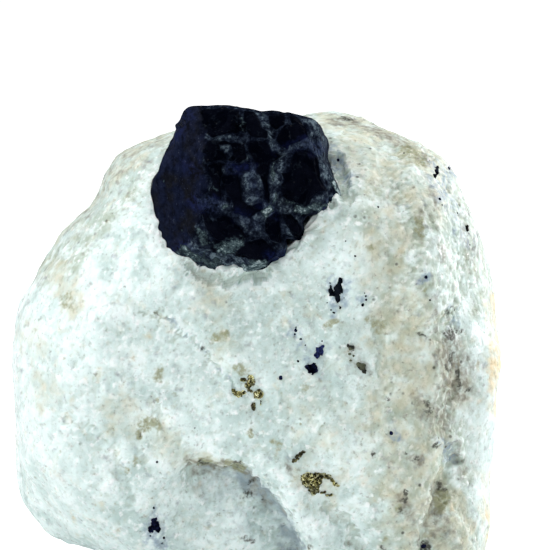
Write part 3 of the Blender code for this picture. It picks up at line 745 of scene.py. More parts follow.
# Waves and sugary flat breaks of the surface: their size in millimetres, height and seed
SURFACE_WAVES = [(5.0, 0.24, 3.1), (2.4, 0.14, 7.7)]
SUGAR_BREAKS = [(GRAIN_SIZE * 1.4, 0.24, 4.4), (GRAIN_SIZE * 0.7, 0.13, 1.9)]
# Only the front above the base is made finer, and the base itself stays flat
FINE_TURN = -0.12
FINE_ABOVE = 0.4
BASE_KEPT = 0.8
# The small grains' pockets are closed by a skin, and the crystal's is drawn onto the crystal
POCKET_MARGIN = 0.75
POCKET_ROUNDS = 250
POCKET_WALL = 0.55
CRYSTAL_GRIP = 0.2
CRYSTAL_REACH = 3.2
GRIP_ROUNDS = 80
# A collar of calcite grown up round the crystal at its lower right
COLLAR_REACH = 2.2
COLLAR_RISE = 1.1
COLLAR_GRAIN = 1.1
COLLAR_PATH = [([(334, 208), (318, 226), (306, 243), (292, 258)], 11.0, 1.0)]
SMALL_GRAINS = [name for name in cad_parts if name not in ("marble_matrix", "lazurite_crystal")]


def fill_pockets(points, edges):
    """Closes the small grains' pockets: a skin drawn smoothly from rim to rim."""
    inside = np.zeros(len(points), bool)
    for name in SMALL_GRAINS:
        low, high = (np.array(corner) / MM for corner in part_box(name))
        middle, half = (low + high) / 2, (high - low) / 2 + POCKET_MARGIN
        away = (points - middle) / half
        inside |= (np.hypot(away[:, 0], away[:, 2]) < 1.0) & (np.abs(away[:, 1]) < 2.0)
    return smoothed(points, edges, POCKET_ROUNDS, inside.astype(float), 0.9)


def distance_to(points, tree):
    """How far each point is from a surface, in millimetres."""
    return np.array([tree.find_nearest(place)[3] for place in (points * MM).tolist()]) / MM


def gripped(points, edges):
    """Draws the pocket's wall and rim onto the crystal, and lets the marble beside it follow."""
    pocket_away = distance_to(points, tree_of(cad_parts["lazurite_crystal"].data))
    grown_in = tree_of(crystal.data)
    shift = np.zeros(points.shape)
    for i in np.flatnonzero(pocket_away < POCKET_WALL):
        spot, facing, _, _ = grown_in.find_nearest(points[i] * MM)
        shift[i] = np.array(spot) / MM - np.array(facing) * CRYSTAL_GRIP - points[i]
    follows = (pocket_away >= POCKET_WALL) & (pocket_away < CRYSTAL_REACH)
    return points + smoothed(shift, edges, GRIP_ROUNDS, follows.astype(float), 1.0)


# The hollow under the ridge, the groove and other lines that go in, and the swellings, all in
# picture pixels. Each line is a path, its half width and its depth or height in millimetres
HOLLOW = [
    (178, 459), (186, 461), (202, 459), (221, 464), (237, 462), (246, 468), (260, 477), (275, 494),
    (290, 515), (300, 535), (308, 560), (230, 560), (200, 545), (188, 520), (182, 490),
]
HOLLOW_LIP = [(216, 463), (237, 462), (246, 468), (260, 477), (275, 494), (290, 515), (300, 535),
              (308, 560)]
CARVED = [
    ([(428, 160), (433, 190), (440, 230), (436, 280), (434, 320), (445, 350), (450, 385)], 7.0, 0.3),
    ([(450, 385), (440, 433), (457, 461), (436, 485), (438, 501), (428, 520), (421, 552)], 5.0, 0.7),
    ([(326, 508), (345, 520), (360, 548)], 5.0, 0.45),
    ([(140, 312), (165, 320), (210, 360), (235, 385)], 1.6, 0.22),
    ([(345, 128), (380, 140), (415, 170)], 5.0, 0.35), ([(70, 420), (110, 450), (130, 500)], 6.0, 0.3),
    ([(378, 330), (384, 380), (372, 430)], 5.0, 0.3), ([(150, 400), (175, 440)], 5.0, 0.3),
    ([(337, 160), (343, 180), (347, 197)], 6.0, 0.9),
    ([(190, 264), (207, 274), (226, 280), (244, 277), (262, 271)], 6.0, 0.8),
]
RAISED = [
    ([(262, 462), (285, 487), (303, 512), (314, 542)], 9.0, 0.45), ([(440, 438), (457, 448)], 8.0, 0.5),
    ([(445, 505), (462, 545)], 9.0, 0.5), ([(452, 170), (462, 250)], 9.0, 0.4),
    ([(400, 190), (408, 260)], 12.0, 0.35), ([(90, 330), (115, 390)], 14.0, 0.35),
    ([(416, 175), (430, 235), (428, 300)], 22.0, 1.8), ([(200, 300), (225, 330)], 14.0, 0.3),
    ([(330, 420), (350, 460)], 14.0, 0.3),
]
HOLLOW_DEPTH = 1.1
HOLLOW_EDGE = 8.0
HOLLOW_LIP_REACH = 28.0
FRONT_WANDER = 6.0
FRONT_TURN = 0.3
# Painted shade in the hollow under its lip, partly its greyer marble.
HOLLOW_SHADE = [([(248, 473), (262, 486), (277, 504), (290, 528), (298, 552)], 15.0, 1.0),
                ([(205, 467), (240, 474)], 8.0, 0.7), ([(215, 490), (250, 520)], 26.0, 0.35)]


def in_hollow(places):
    """How deep in the hollow each picture place is, from 0 to 1, deepest under its upper lip."""
    inside = np.clip(depth_inside(places, HOLLOW) / HOLLOW_EDGE, 0.0, 1.0)
    return inside * painted(places, [(HOLLOW_LIP, HOLLOW_LIP_REACH, 1.0)]).clip(0.0, 1.0)


def front_forms(points, facing):
    """The hollow, groove and swellings of the front, as a rise in millimetres."""
    places = wandering(points, FRONT_WANDER)
    rise = painted(places, RAISED) - painted(places, CARVED) - HOLLOW_DEPTH * in_hollow(places)
    return rise * facing


def marble_body():
    mesh = even_mesh(welded("marble_matrix"), "marble_matrix_grown", MARBLE_STEP)
    points = fill_pockets(points_of(mesh), edges_of(mesh))
    wall = distance_to(points, tree_of(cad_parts["lazurite_crystal"].data)) < POCKET_WALL
    points = smoothed(points, edges_of(mesh), MARBLE_EASING, np.where(wall, 0.0, 1.0))
    put_points(mesh, points)
    facing = normals_of(mesh) @ np.array(view_line)
    refined(mesh, (facing < FINE_TURN) & (points[:, 2] > FINE_ABOVE))
    points = gripped(points_of(mesh), edges_of(mesh))
    put_points(mesh, points)
    normals = normals_of(mesh)
    rise = sum(height * ripple(points, size, seed) for size, height, seed in SURFACE_WAVES)
    rise += sum(height * flat_breaks(points, size, seed) for size, height, seed in SUGAR_BREAKS)
    rise += front_forms(points, np.clip(-normals @ np.array(view_line) / FRONT_TURN, 0.0, 1.0))
    collar = np.clip(1.0 - distance_to(points, tree_of(crystal.data)) / COLLAR_REACH, 0.0, 1.0)
    collar *= painted(in_picture(points), COLLAR_PATH)
    rise += COLLAR_RISE * collar * (0.6 + 1.6 * flat_breaks(points, COLLAR_GRAIN, 9.2))
    on_base = np.clip(points[:, 2] / BASE_KEPT, 0.0, 1.0)
    points += normals * (rise * on_base)[:, None]
    points[:, 2] = np.maximum(points[:, 2], 0.0)
    put_points(mesh, points)
    keep_marks(mesh, "ridge", ridges(mesh))
    return mesh


# Stains and spots on the front, some partly painted shade or a painted rim light as noted, each a path in
# picture pixels, its half width and its strength
TAN_FLAKES = [
    ([(215, 338), (224, 335)], 4, 0.9), ([(327, 326), (335, 322)], 3.6, 1.1),
    ([(374, 320), (381, 326)], 5, 0.8), ([(161, 370), (159, 384)], 3.4, 0.85), ([(157, 400)], 3, 1.0),
    ([(144, 426), (150, 421), (158, 425)], 5, 1.1), ([(138, 436)], 3.8, 0.9), ([(136, 461)], 4, 0.9),
    ([(126, 471)], 3.2, 1.0), ([(249, 429), (253, 436)], 2.2, 1.0), ([(274, 441), (281, 446)], 3.6, 0.75),
    ([(419, 218), (421, 234)], 4.5, 0.9), ([(371, 246)], 4.5, 0.85), ([(408, 152), (420, 160)], 8, 0.8),
    ([(301.5, 423)], 1.8, 1.2), ([(305, 386)], 3, 0.8), ([(385, 539)], 3.5, 0.9),
    ([(400, 508)], 3.5, 0.9), ([(443, 496), (440, 506)], 6, 1.0), ([(309, 548)], 3, 0.8),
    ([(158, 315)], 5, 0.6), ([(238, 369), (246, 371)], 4, 0.8), ([(425, 292)], 2.6, 1.0),
    ([(200, 461), (210, 462)], 3.5, 0.9), ([(230, 463), (240, 468)], 4.5, 1.0),
    ([(372, 322), (379, 330)], 6, 0.7), ([(66, 296), (70, 306)], 6, 0.7),
]
DARK_SPOTS = [
    ([(352, 348)], 2.6, 0.9), ([(414, 459)], 3.2, 1.0), ([(436, 447)], 3.2, 1.1),
    ([(405, 492), (404, 500)], 3.2, 1.1), ([(422, 545), (425, 548)], 4.5, 1.1), ([(373, 454)], 3.4, 0.9),
    ([(252, 480)], 3.0, 1.0), ([(250, 491)], 2.8, 1.0), ([(245, 495)], 2.0, 0.8),
    ([(199, 461), (206, 463)], 1.8, 1.0), ([(236, 462), (240, 464)], 1.8, 1.1), ([(257, 508)], 1.8, 0.8),
    ([(244, 538), (252, 541)], 2.4, 0.8), ([(262, 499)], 2.0, 0.7), ([(156, 314)], 2.2, 0.7),
    ([(202, 349)], 2.4, 0.9), ([(451, 356), (448, 368)], 3.4, 0.8), ([(456, 372), (459, 384)], 3.0, 0.8),
    ([(467, 391)], 2.6, 1.0), ([(428, 405), (431, 412)], 3.4, 0.8), ([(420, 333), (431, 340)], 2.4, 0.8),
    ([(446, 332), (452, 336)], 3.4, 0.9), ([(402, 511)], 3.0, 0.8), ([(383, 546)], 3.0, 0.8),
    ([(388, 399)], 2.4, 0.8), ([(309, 547)], 3.2, 0.9), ([(282, 524)], 1.8, 0.8),
    ([(406, 453)], 2.2, 0.8), ([(412, 404)], 2.2, 0.7), ([(467, 233)], 2.0, 0.8),
    ([(446, 309), (450, 316)], 2.4, 0.6), ([(452, 308)], 2.0, 0.7), ([(456, 333), (462, 330)], 2.0, 0.8),
    ([(436, 485), (443, 490)], 3.0, 0.9), ([(343, 119), (352, 121)], 1.6, 1.1), ([(153, 400)], 1.6, 0.9),
    ([(138, 436)], 1.6, 0.8), ([(126, 471)], 1.8, 0.9),
]
AGED = [
    ([(400, 160), (420, 300)], 46, 1.0), ([(420, 300), (424, 540)], 44, 1.2),
    ([(335, 130), (380, 200)], 34, 1.2), ([(300, 300), (350, 400)], 38, 0.45),
    ([(155, 130), (110, 160), (70, 205), (45, 240)], 34, 3.0), ([(250, 300), (280, 330)], 24, 0.4),
    ([(462, 185), (478, 240), (484, 300)], 22, 1.3),
]
WARM_STAINS_AND_RIM_LIGHT = [
    ([(385, 240), (400, 320)], 30, 0.75), ([(350, 128), (395, 140), (440, 165)], 15, 1.0),
    ([(435, 350), (455, 400)], 15, 0.9), ([(430, 470), (445, 500)], 14, 0.9),
    ([(442, 505), (458, 548)], 19, 2.2), ([(385, 400), (415, 480)], 26, 0.7),
    ([(58, 270), (72, 305)], 13, 0.8), ([(322, 120), (345, 126)], 7, 1.3), ([(415, 156)], 12, 1.0),
    # The marks along the right rim, at (495, 310) and (490, 480), are a painted rim light.
    ([(495, 310), (497, 405)], 9, 1.0), ([(60, 215), (100, 170), (150, 135)], 24, 0.8),
    ([(490, 480), (488, 545)], 10, 0.8), ([(370, 430), (404, 540)], 24, 0.55),
    ([(300, 400), (330, 470)], 22, 0.45), ([(120, 410), (160, 450)], 22, 0.55),
    ([(205, 290), (225, 345)], 16, 0.5), ([(30, 330), (45, 400)], 14, 0.45),
    ([(405, 350), (418, 440)], 28, 1.1), ([(350, 150), (430, 200)], 24, 0.7),
    ([(398, 460), (408, 540)], 20, 0.8), ([(190, 455), (235, 468)], 7, 0.9),
    ([(310, 478), (322, 490)], 20, 0.6),
]
# Dirt in the groove and under the hollow's lip, partly painted shade where the groove steps in and under the
# lip.
GROOVE_DIRT_AND_SHADE = [
    ([(449, 347), (452, 368)], 9, 0.8), ([(452, 378), (462, 396)], 9, 0.8),
    ([(446, 405), (444, 430)], 11, 0.6), ([(437, 300), (436, 335)], 4, 0.5),
    ([(438, 235), (441, 262)], 4, 0.5), ([(432, 188), (437, 208)], 3.5, 0.6),
    ([(437, 487), (434, 507)], 7, 0.8), ([(434, 515), (428, 548)], 9, 0.6),
    ([(455, 446), (462, 470)], 8, 0.6), ([(190, 461), (238, 466), (254, 478)], 4.5, 0.8),
    ([(254, 484), (268, 505)], 7, 0.5), ([(408, 455), (418, 462)], 6, 0.6),
    ([(400, 500), (409, 515)], 8, 0.6), ([(356, 366), (368, 372)], 7, 0.7),
    ([(468, 360), (472, 410)], 5, 0.5), ([(395, 140), (425, 160)], 8, 0.6),
    ([(330, 121), (352, 122)], 4, 0.8), ([(345, 540), (362, 550)], 4, 0.5),
    ([(352, 124), (385, 133), (430, 159)], 4, 0.8), ([(448, 350), (457, 392)], 14, 0.95),
    ([(458, 166), (466, 180)], 7, 0.6), ([(420, 215), (424, 240)], 7, 0.45),
    ([(150, 140), (115, 168), (80, 212)], 16, 0.35), ([(350, 350), (361, 367)], 8, 0.5),
    ([(464, 215), (474, 255)], 8, 0.5), ([(433, 400), (440, 430)], 10, 0.5),
    ([(410, 510), (420, 545)], 6, 0.4), ([(441, 500), (452, 548)], 15, 0.4),
    ([(442, 494), (450, 503)], 5, 0.5), ([(286, 462), (290, 476)], 4, 0.5),
    ([(190, 470), (215, 475)], 6, 0.5), ([(418, 395), (430, 420)], 9, 0.5),
]
CLEAR_PATCHES_AND_SHADE = [
    # The broad patch over the middle of the front is partly translucent grain and partly painted shade,
    # darker away from the light at the left.
    ([(215, 300), (300, 330), (310, 390)], 52, 1.0), ([(170, 330), (190, 380)], 24, 0.6),
    ([(255, 420), (290, 470)], 26, 0.5), ([(345, 200), (350, 300)], 26, 0.4),
    ([(80, 360), (90, 460)], 18, 0.4), ([(150, 135), (110, 165), (60, 215)], 26, 1.3),
    ([(350, 140), (420, 180)], 30, 0.8), ([(230, 400), (290, 440)], 36, 0.9),
]
# Rust along the right rim, partly a painted rim light where the edge catches light from behind.
RUST_AND_RIM_LIGHT = [([(493, 300), (497, 350), (497, 410)], 8, 1.2), ([(491, 480), (489, 540)], 7, 0.7)]
BLUE_HAZE = [
    ([(333, 282), (332, 302)], 5, 1.1), ([(345, 284), (345, 302)], 5, 1.0),
    ([(330, 302), (334, 318)], 5, 0.8), ([(362, 293), (363, 300)], 4, 1.0),
    ([(293, 325), (298, 345)], 5, 0.8), ([(318, 350), (312, 368)], 10, 0.55),
    ([(296, 328), (300, 345)], 6, 0.5), ([(154, 526), (158, 545)], 13, 0.7), ([(364, 296)], 8, 0.6),
    ([(440, 199), (449, 168)], 5, 0.8), ([(330, 150), (346, 178)], 8, 0.7),
    ([(165, 317), (210, 360), (235, 385)], 3, 0.5), ([(445, 440), (450, 458)], 6, 0.8),
    ([(435, 170), (465, 240)], 10, 0.45), ([(455, 168), (463, 182)], 6, 1.0), ([(424, 277)], 7, 1.0),
    ([(395, 434)], 6, 0.8), ([(452, 308), (455, 325)], 6, 0.5),
]
# Marks out of the picture's sight: the size of their patches, how common they are, their strength
BACK_MARKS = {"tan": (2.2, -0.45, 3.2), "spot": (1.3, -0.48, 3.0), "aged": (11.0, 0.20, 1.6),
              "warm": (9.0, -0.05, 1.8), "dirt_and_shade": (3.5, -0.36, 2.4), "haze": (6.0, -0.40, 1.6),
              "clear": (8.0, 0.0, 1.5)}
RUST_AND_RIM_PATCHES = 4.5
STAIN_WANDER = 4.0
SHADE_BORDER = 3.0

MILKY = (0.85, 0.96, 0.95)
CLEAR_GRAIN_AND_SHADE = (0.54, 0.67, 0.65)
GREEN_GREY = (0.38, 0.45, 0.35)
BRIGHT_GRAIN_AND_HIGHLIGHT = (0.95, 1.0, 1.0)
BEIGE = (0.60, 0.575, 0.42)
RUSTY_RIM_LIGHT = (0.80, 0.63, 0.36)
OLIVE_TAN = (0.31, 0.32, 0.18)
DIRT_AND_SHADE = (0.24, 0.23, 0.18)
SPOT = (0.050, 0.050, 0.035)
SLATE_SHADE = (0.31, 0.39, 0.44)
HAZE = (0.26, 0.36, 0.48)
# Each stain's border (grain in millimetres, raggedness, softness), the noise that breaks it up
# (size in millimetres, its range that counts, least and most share, detail) and its colour. 'hollow' is
# painted shade, 'clear' and 'dirt' are partly painted shade, and 'rust' and 'warm' are partly a painted rim
# light
STAINS_AND_SHADES = {
    "aged": ((4.0, 1.2, 0.5), (1.7, 0.38, 0.64, 0.12, 0.85, 6.0), GREEN_GREY),
    "clear": ((4.0, 1.2, 0.5), (2.2, 0.36, 0.58, 0.1, 0.9, 5.0), CLEAR_GRAIN_AND_SHADE),
    "warm": ((3.0, 2.0, 0.4), (1.6, 0.36, 0.62, 0.15, 0.7, 5.0), BEIGE),
    "hollow": ((2.0, 0.8, 0.4), (2.0, 0.36, 0.58, 0.25, 0.95, 5.0), SLATE_SHADE),
    "rust_and_rim_light": ((2.0, 2.0, 0.4), (1.4, 0.38, 0.60, 0.15, 0.85, 6.0), RUSTY_RIM_LIGHT),
    "dirt_and_shade": ((1.2, 2.0, 0.4), (0.8, 0.36, 0.58, 0.2, 0.95, 5.0), DIRT_AND_SHADE),
    "haze": ((1.2, 2.0, 0.4), (0.7, 0.36, 0.60, 0.0, 0.8, 5.0), HAZE),
    "tan": ((0.7, 2.0, 0.4), (0.5, 0.36, 0.52, 0.3, 0.85, 4.0), OLIVE_TAN),
    "spot": ((0.5, 2.0, 0.4), (0.35, 0.36, 0.52, 0.3, 0.95, 4.0), SPOT),
}
PEPPER_SPACING = 1.5
SUGAR_RELIEF = 0.14
LIGHT_DEPTH = 0.7


def marble_material():
    material, tree, shader = new_material("marble")
    place = place_in_mm(tree)

    def noisy(size, low, high, to_low=0.0, to_high=1.0, detail=4.0):
        return scaled_value(tree, noise_value(tree, place, size, detail), low, high, to_low, to_high)

    def stain_and_shade(name):
        """Where a stain, painted shade or painted rim light lies, its border torn along the grains."""
        (grain, raggedness, softness), breaks, _ = STAINS_AND_SHADES[name]
        border = use_group(tree, RAGGED_MARK, {
            "Mark": kept_mark(tree, name), "Place": place, "Grain Size": grain,
            "Raggedness": raggedness, "Softness": softness})
        return times(tree, border.outputs["Mask"], noisy(*breaks))

    def stained_and_shaded(under, *names):
        for name in names:
            under = blended(tree, stain_and_shade(name), under, STAINS_AND_SHADES[name][2])
        return under

    sugar = use_group(tree, CALCITE_SUGAR, {"Place": place, "Grain Size": GRAIN_SIZE})
    ridge = kept_mark(tree, "ridge")
    clouds = times(tree, noisy(3.4, 0.42, 0.62, detail=5.0), noisy(11.0, 0.36, 0.60, 0.3, 1.0))
    colour = blended(tree, clouds, MILKY, CLEAR_GRAIN_AND_SHADE)
    clearer = scaled_value(tree, sugar.outputs["Tone"], 0.5, 0.95, 0.0, 0.35)
    colour = blended(tree, clearer, colour, CLEAR_GRAIN_AND_SHADE)
    aged = stain_and_shade("aged")
    colour = stained_and_shaded(blended(tree, aged, colour, GREEN_GREY), "clear")
    colour = blended(tree, noisy(0.8, 0.55, 0.68, 0.0, 0.8, 5.0), colour, BRIGHT_GRAIN_AND_HIGHLIGHT)
    # Painted shade darkens the creases and a painted highlight lightens the peaks of the relief.
    colour = blended(tree, scaled_value(tree, ridge, 0.0, -0.8, 0.0, 0.35), colour, GREEN_GREY)
    colour = blended(tree, scaled_value(tree, ridge, 0.1, 0.9, 0.0, 0.35), colour, BRIGHT_GRAIN_AND_HIGHLIGHT)
    colour = stained_and_shaded(colour, "warm", "hollow")
    colour = blended(tree, times(tree, aged, noisy(1.0, 0.56, 0.70, 0.0, 0.55, 6.0)), colour, DIRT_AND_SHADE)
    colour = stained_and_shaded(colour, "rust_and_rim_light", "dirt_and_shade", "haze", "tan", "spot")
    pepper = add_node(tree, "ShaderNodeTexVoronoi", {"Vector": place, "Scale": 1.0 / PEPPER_SPACING})
    kind = add_node(tree, "ShaderNodeSeparateColor", {0: pepper.outputs["Color"]}).outputs["Blue"]
    pepper = times(tree, scaled_value(tree, pepper.outputs["Distance"], 0.20, 0.08),
                   scaled_value(tree, kind, 0.70, 0.80, 0.0, 0.9))
    pepper = times(tree, pepper, scaled_value(tree, aged, 0.0, 0.5, 0.06, 1.0))
    colour = blended(tree, pepper, colour, SPOT)
    tree.links.new(colour, shader.inputs["Base Color"])
    rough = scaled_value(tree, sugar.outputs["Tone"], 0.0, 1.0, 0.62, 0.38)
    tree.links.new(rough, shader.inputs["Roughness"])
    tree.links.new(sugar.outputs["Glint"], shader.inputs["Coat Weight"])
    shader.inputs["Coat Roughness"].default_value = 0.12
    shader.inputs["Subsurface Weight"].default_value = 0.5
    shader.inputs["Subsurface Radius"].default_value = (0.8, 1.0, 0.95)
    shader.inputs["Subsurface Scale"].default_value = LIGHT_DEPTH * MM
    bumped(tree, shader, sugar.outputs["Relief"], 1.0, SUGAR_RELIEF)
    return material


def back_marks(points, facing, name):
    """Stains on the back and sides, in uneven patches, more on what faces up."""
    size, common, strength = BACK_MARKS[name]
    patches = ripple(points, size, 3.7 + size) + common + 0.15 * facing[:, 2]
    return np.clip(strength * patches, 0.0, 1.0)


marble = add_to_scene("marble", marble_body())
clad(marble, marble_material())
seen_at = wandering(points_of(marble.data), STAIN_WANDER)
weathered = normals_of(marble.data)
faces_camera = np.clip(0.5 - weathered @ np.array(view_line) / FRONT_TURN, 0.0, 1.0)
for mark_name, marks in (("tan", TAN_FLAKES), ("spot", DARK_SPOTS), ("aged", AGED), ("warm", WARM_STAINS_AND_RIM_LIGHT),
                         ("dirt_and_shade", GROOVE_DIRT_AND_SHADE), ("haze", BLUE_HAZE), ("clear", CLEAR_PATCHES_AND_SHADE)):
    unseen = (1.0 - faces_camera) * back_marks(points_of(marble.data), weathered, mark_name)
    keep_marks(marble.data, mark_name, painted(seen_at, marks) * faces_camera + unseen)
# Painted rim light and rust along the right edge, broken into patches.
rim_patchiness = 0.3 + 1.6 * ripple(points_of(marble.data), RUST_AND_RIM_PATCHES, 6.4)
keep_marks(marble.data, "rust_and_rim_light", painted(seen_at, RUST_AND_RIM_LIGHT) * rim_patchiness.clip(0.0, 1.0))
# The hollow's painted shade, kept only under the lip.
under_lip = np.clip(depth_inside(seen_at, HOLLOW) / SHADE_BORDER + 0.4, 0.0, 1.0)
keep_marks(marble.data, "hollow", painted(seen_at, HOLLOW_SHADE) * under_lip * faces_camera)
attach(marble, "root")
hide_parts("marble_matrix")


# The small grains of lazurite: blue-black crumbs grown in the marble, each half sunk in it, with
# ragged sides. One is a brighter blue. The smallest are specks scattered about the front.
GRAIN_STEP = 0.08
# How far a lump is sunk, in shares of its thickness, and how far its corners are pushed about
GRAIN_SUNK = 0.35
SPECK_SUNK = 0.3
LUMP_PUSH = (0.80, 1.14)
SPECK_HEIGHT = (0.8, 1.3)
CRUMB_BREAKS = [(0.55, 1.0, 3.3), (0.25, 0.5, 6.1)]
GRAIN_BREAK = 0.25
SPECK_BREAK = 0.12
SMALL_BLUE = (0.012, 0.015, 0.048)
ANGULAR_BLACK = (0.008, 0.010, 0.016)
CORNER_GREY = (0.012, 0.014, 0.024)
RIGHT_BROWN = (0.014, 0.013, 0.011)
BRIGHT_BLUE = (0.026, 0.036, 0.125)
# Each lump is a picture place, its half width and its half height, in pixels
GRAIN_LUMPS = {
    "lazurite_grain_angular": [(338.5, 289, 5.2, 6.5), (340.5, 281, 2.8, 5.2), (331, 291.5, 3.2, 4.8),
                               (337.5, 298, 2.8, 5.2), (334.5, 294, 3.8, 3.0), (340, 308, 1.5, 1.6),
                               (334, 313, 1.3, 1.3), (330.5, 286.5, 1.5, 2.0)],
    "lazurite_grain_blue": [(319.5, 350, 4.6, 4.2), (316.8, 355.5, 3.2, 3.4), (322.8, 346.5, 2, 2),
                            (322, 354, 2, 3.4)],
    "lazurite_grain_round": [(312.8, 368.4, 6.3, 6.0), (307.8, 367, 3.2, 2.6), (315.5, 370.6, 3.4, 3.4)],
    "lazurite_grain_low": [(155, 525, 5.8, 6), (151.6, 529, 4, 4), (158.2, 529.5, 3.6, 4),
                           (154, 520, 3.6, 2.8)],
    "lazurite_grain_corner": [(436.2, 171.5, 4.0, 5.2), (434.6, 176, 2.8, 3.0), (437.2, 167.5, 2.2, 2.2)],
    "lazurite_grain_right": [(467, 230, 2.1, 4.7), (467.8, 226.5, 1.4, 2)],
}
# Each speck is a picture place and its half width, in pixels
SPECKS = [
    (338, 160, 2.2), (391, 433, 2.0), (423, 546, 3.4), (426, 277, 2.4), (449, 168, 1.6), (440, 199, 2.0),
    (365.6, 296, 1.5), (366.2, 299.6, 1.3), (364.6, 293.2, 1.0), (362.9, 304.6, 1.8), (346, 241, 1.1),
    (295.6, 330.6, 1.6), (296.2, 327.2, 1.1), (294.8, 334, 1.1), (301, 339, 1.3), (305, 345, 1.2),
    (298, 361, 1.3), (280.6, 377.8, 2.2), (355, 256, 1.2), (378, 207, 1.1), (454, 310, 1.3),
    (456, 333, 1.2), (404, 153, 1.2), (457, 213, 1.3), (202, 349, 1.0), (195, 428, 1.1), (157, 462, 1.2),
    (164, 538, 1.7), (162, 543, 1.2), (154, 508, 1.4), (150, 536, 1.2), (327, 303, 1.0), (331, 310, 1.1),
    (322, 341, 1.0), (344, 298, 0.9), (330, 283, 0.9), (442, 205, 1.2), (470, 245, 1.2), (430, 300, 1.0),
]


def seen_spot(across, down):
    """The place on the marble that the camera sees at a picture place, and which way it faces."""
    middle = PICTURE_SIZE / 2
    from_middle = Vector((across - middle, 0.0, 0.0)) + Vector(picture_up) * (middle - down)
    line = view_line * CAMERA_AWAY + from_middle * PIXEL
    spot, facing, _, _ = marble_skin.ray_cast(eye * MM, line.normalized())
    return spot / MM, facing


def add_lump(shape, across, down, half_wide, half_high, sunk, chance):
    """A rough lump, part sunk in the marble where the camera sees it."""
    spot, facing = seen_spot(across, down)
    thick = min(half_wide, half_high) * PIXEL
    middle = spot - facing * thick * sunk
    for corner in bmesh.ops.create_icosphere(shape, subdivisions=2, radius=1.0)["verts"]:
        push = chance.uniform(*LUMP_PUSH)
        stretched = Vector((corner.co.x * half_wide * PIXEL, corner.co.y * thick,
                            corner.co.z * half_high * PIXEL))
        corner.co = (middle + stretched * push) * MM


def broken_grain(shape, name, relief):
    """The lumps grown together, with small flat breaks of the given height."""
    mesh = even_mesh(shape, name, GRAIN_STEP)
    points = points_of(mesh)
    rise = relief * sum(height * flat_breaks(points, size, seed, BREAK_BORDER)
                        for size, height, seed in CRUMB_BREAKS)
    put_points(mesh, points + normals_of(mesh) * rise[:, None])
    return mesh


marble_skin = tree_of(marble.data)
grain_material = lazurite_material("lazurite_small", SMALL_BLUE)
GRAIN_MATERIALS = {
    "lazurite_grain_angular": lazurite_material("lazurite_small_dark", ANGULAR_BLACK),
    "lazurite_grain_corner": lazurite_material("lazurite_small_grey", CORNER_GREY),
    "lazurite_grain_right": lazurite_material("lazurite_small_brown", RIGHT_BROWN),
    "lazurite_grain_blue": lazurite_material("lazurite_small_bright", BRIGHT_BLUE),
}
for node_name, lumps in GRAIN_LUMPS.items():
    chance = random.Random(node_name)
    shape = bmesh.new()
    for lump in lumps:
        add_lump(shape, *lump, GRAIN_SUNK, chance)
    grain = add_to_scene(node_name + "_piece", broken_grain(shape, node_name + "_crumb", GRAIN_BREAK))
    clad(grain, GRAIN_MATERIALS.get(node_name, grain_material))
    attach(grain, "root")
    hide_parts(node_name)

chance = random.Random(7)
shape = bmesh.new()
for across, down, half in SPECKS:
    add_lump(shape, across, down, half, half * chance.uniform(*SPECK_HEIGHT), SPECK_SUNK, chance)
specks = add_to_scene("lazurite_specks", broken_grain(shape, "lazurite_specks_crumbs", SPECK_BREAK))
clad(specks, grain_material)
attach(specks, "root")


# The diopside: a dull, dark olive grain beside the round lazurite grain, and a smaller one above it,
# each a cleaved stub grown in the marble.
DIOPSIDE_LUMPS = [
    (361.5, 367, 4.8, 4.8), (364, 371, 3.4, 3.2), (358, 363.6, 2.4, 2.4), (351, 348, 3.4, 3.0),
    (347.4, 345.6, 2.2, 1.8), (350, 354, 1.8, 1.6), (353.6, 356, 1.5, 1.4), (351, 360.6, 1.6, 1.5),
]
DIOPSIDE_BREAK = 0.22
OLIVE = (0.10, 0.11, 0.065)
OLIVE_BLACK = (0.012, 0.014, 0.011)


def diopside_material():
    material, tree, shader = new_material("diopside")
    place = place_in_mm(tree)
    cleaved = noise_value(tree, place, 0.9, 6.0)
    colour = blended(tree, scaled_value(tree, cleaved, 0.42, 0.60), OLIVE_BLACK, OLIVE)
    tree.links.new(colour, shader.inputs["Base Color"])
    tree.links.new(scaled_value(tree, cleaved, 0.3, 0.7, 0.6, 0.4), shader.inputs["Roughness"])
    shader.inputs["Specular IOR Level"].default_value = 0.2
    bumped(tree, shader, cleaved, 0.8, 0.1)
    return material


shape = bmesh.new()
for lump in DIOPSIDE_LUMPS:
    add_lump(shape, *lump, GRAIN_SUNK, chance)
diopside = add_to_scene("diopside_piece", broken_grain(shape, "diopside_crumbs", DIOPSIDE_BREAK))
clad(diopside, diopside_material())
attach(diopside, "root")
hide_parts("diopside_grain")


# The pyrite: brassy clusters of small intergrown cubes, bright where a face turns to the light, set in the
# marble, with olive-black gaps, partly tarnish and partly painted shade in the creases. The lone grain and
# the sliver are duller.
CUBE_STEP = 0.045
CUBE_SIZES = (0.10, 0.27)
CUBE_SUNK = (-0.5, 0.35)
LOBE_FILLED = 0.85
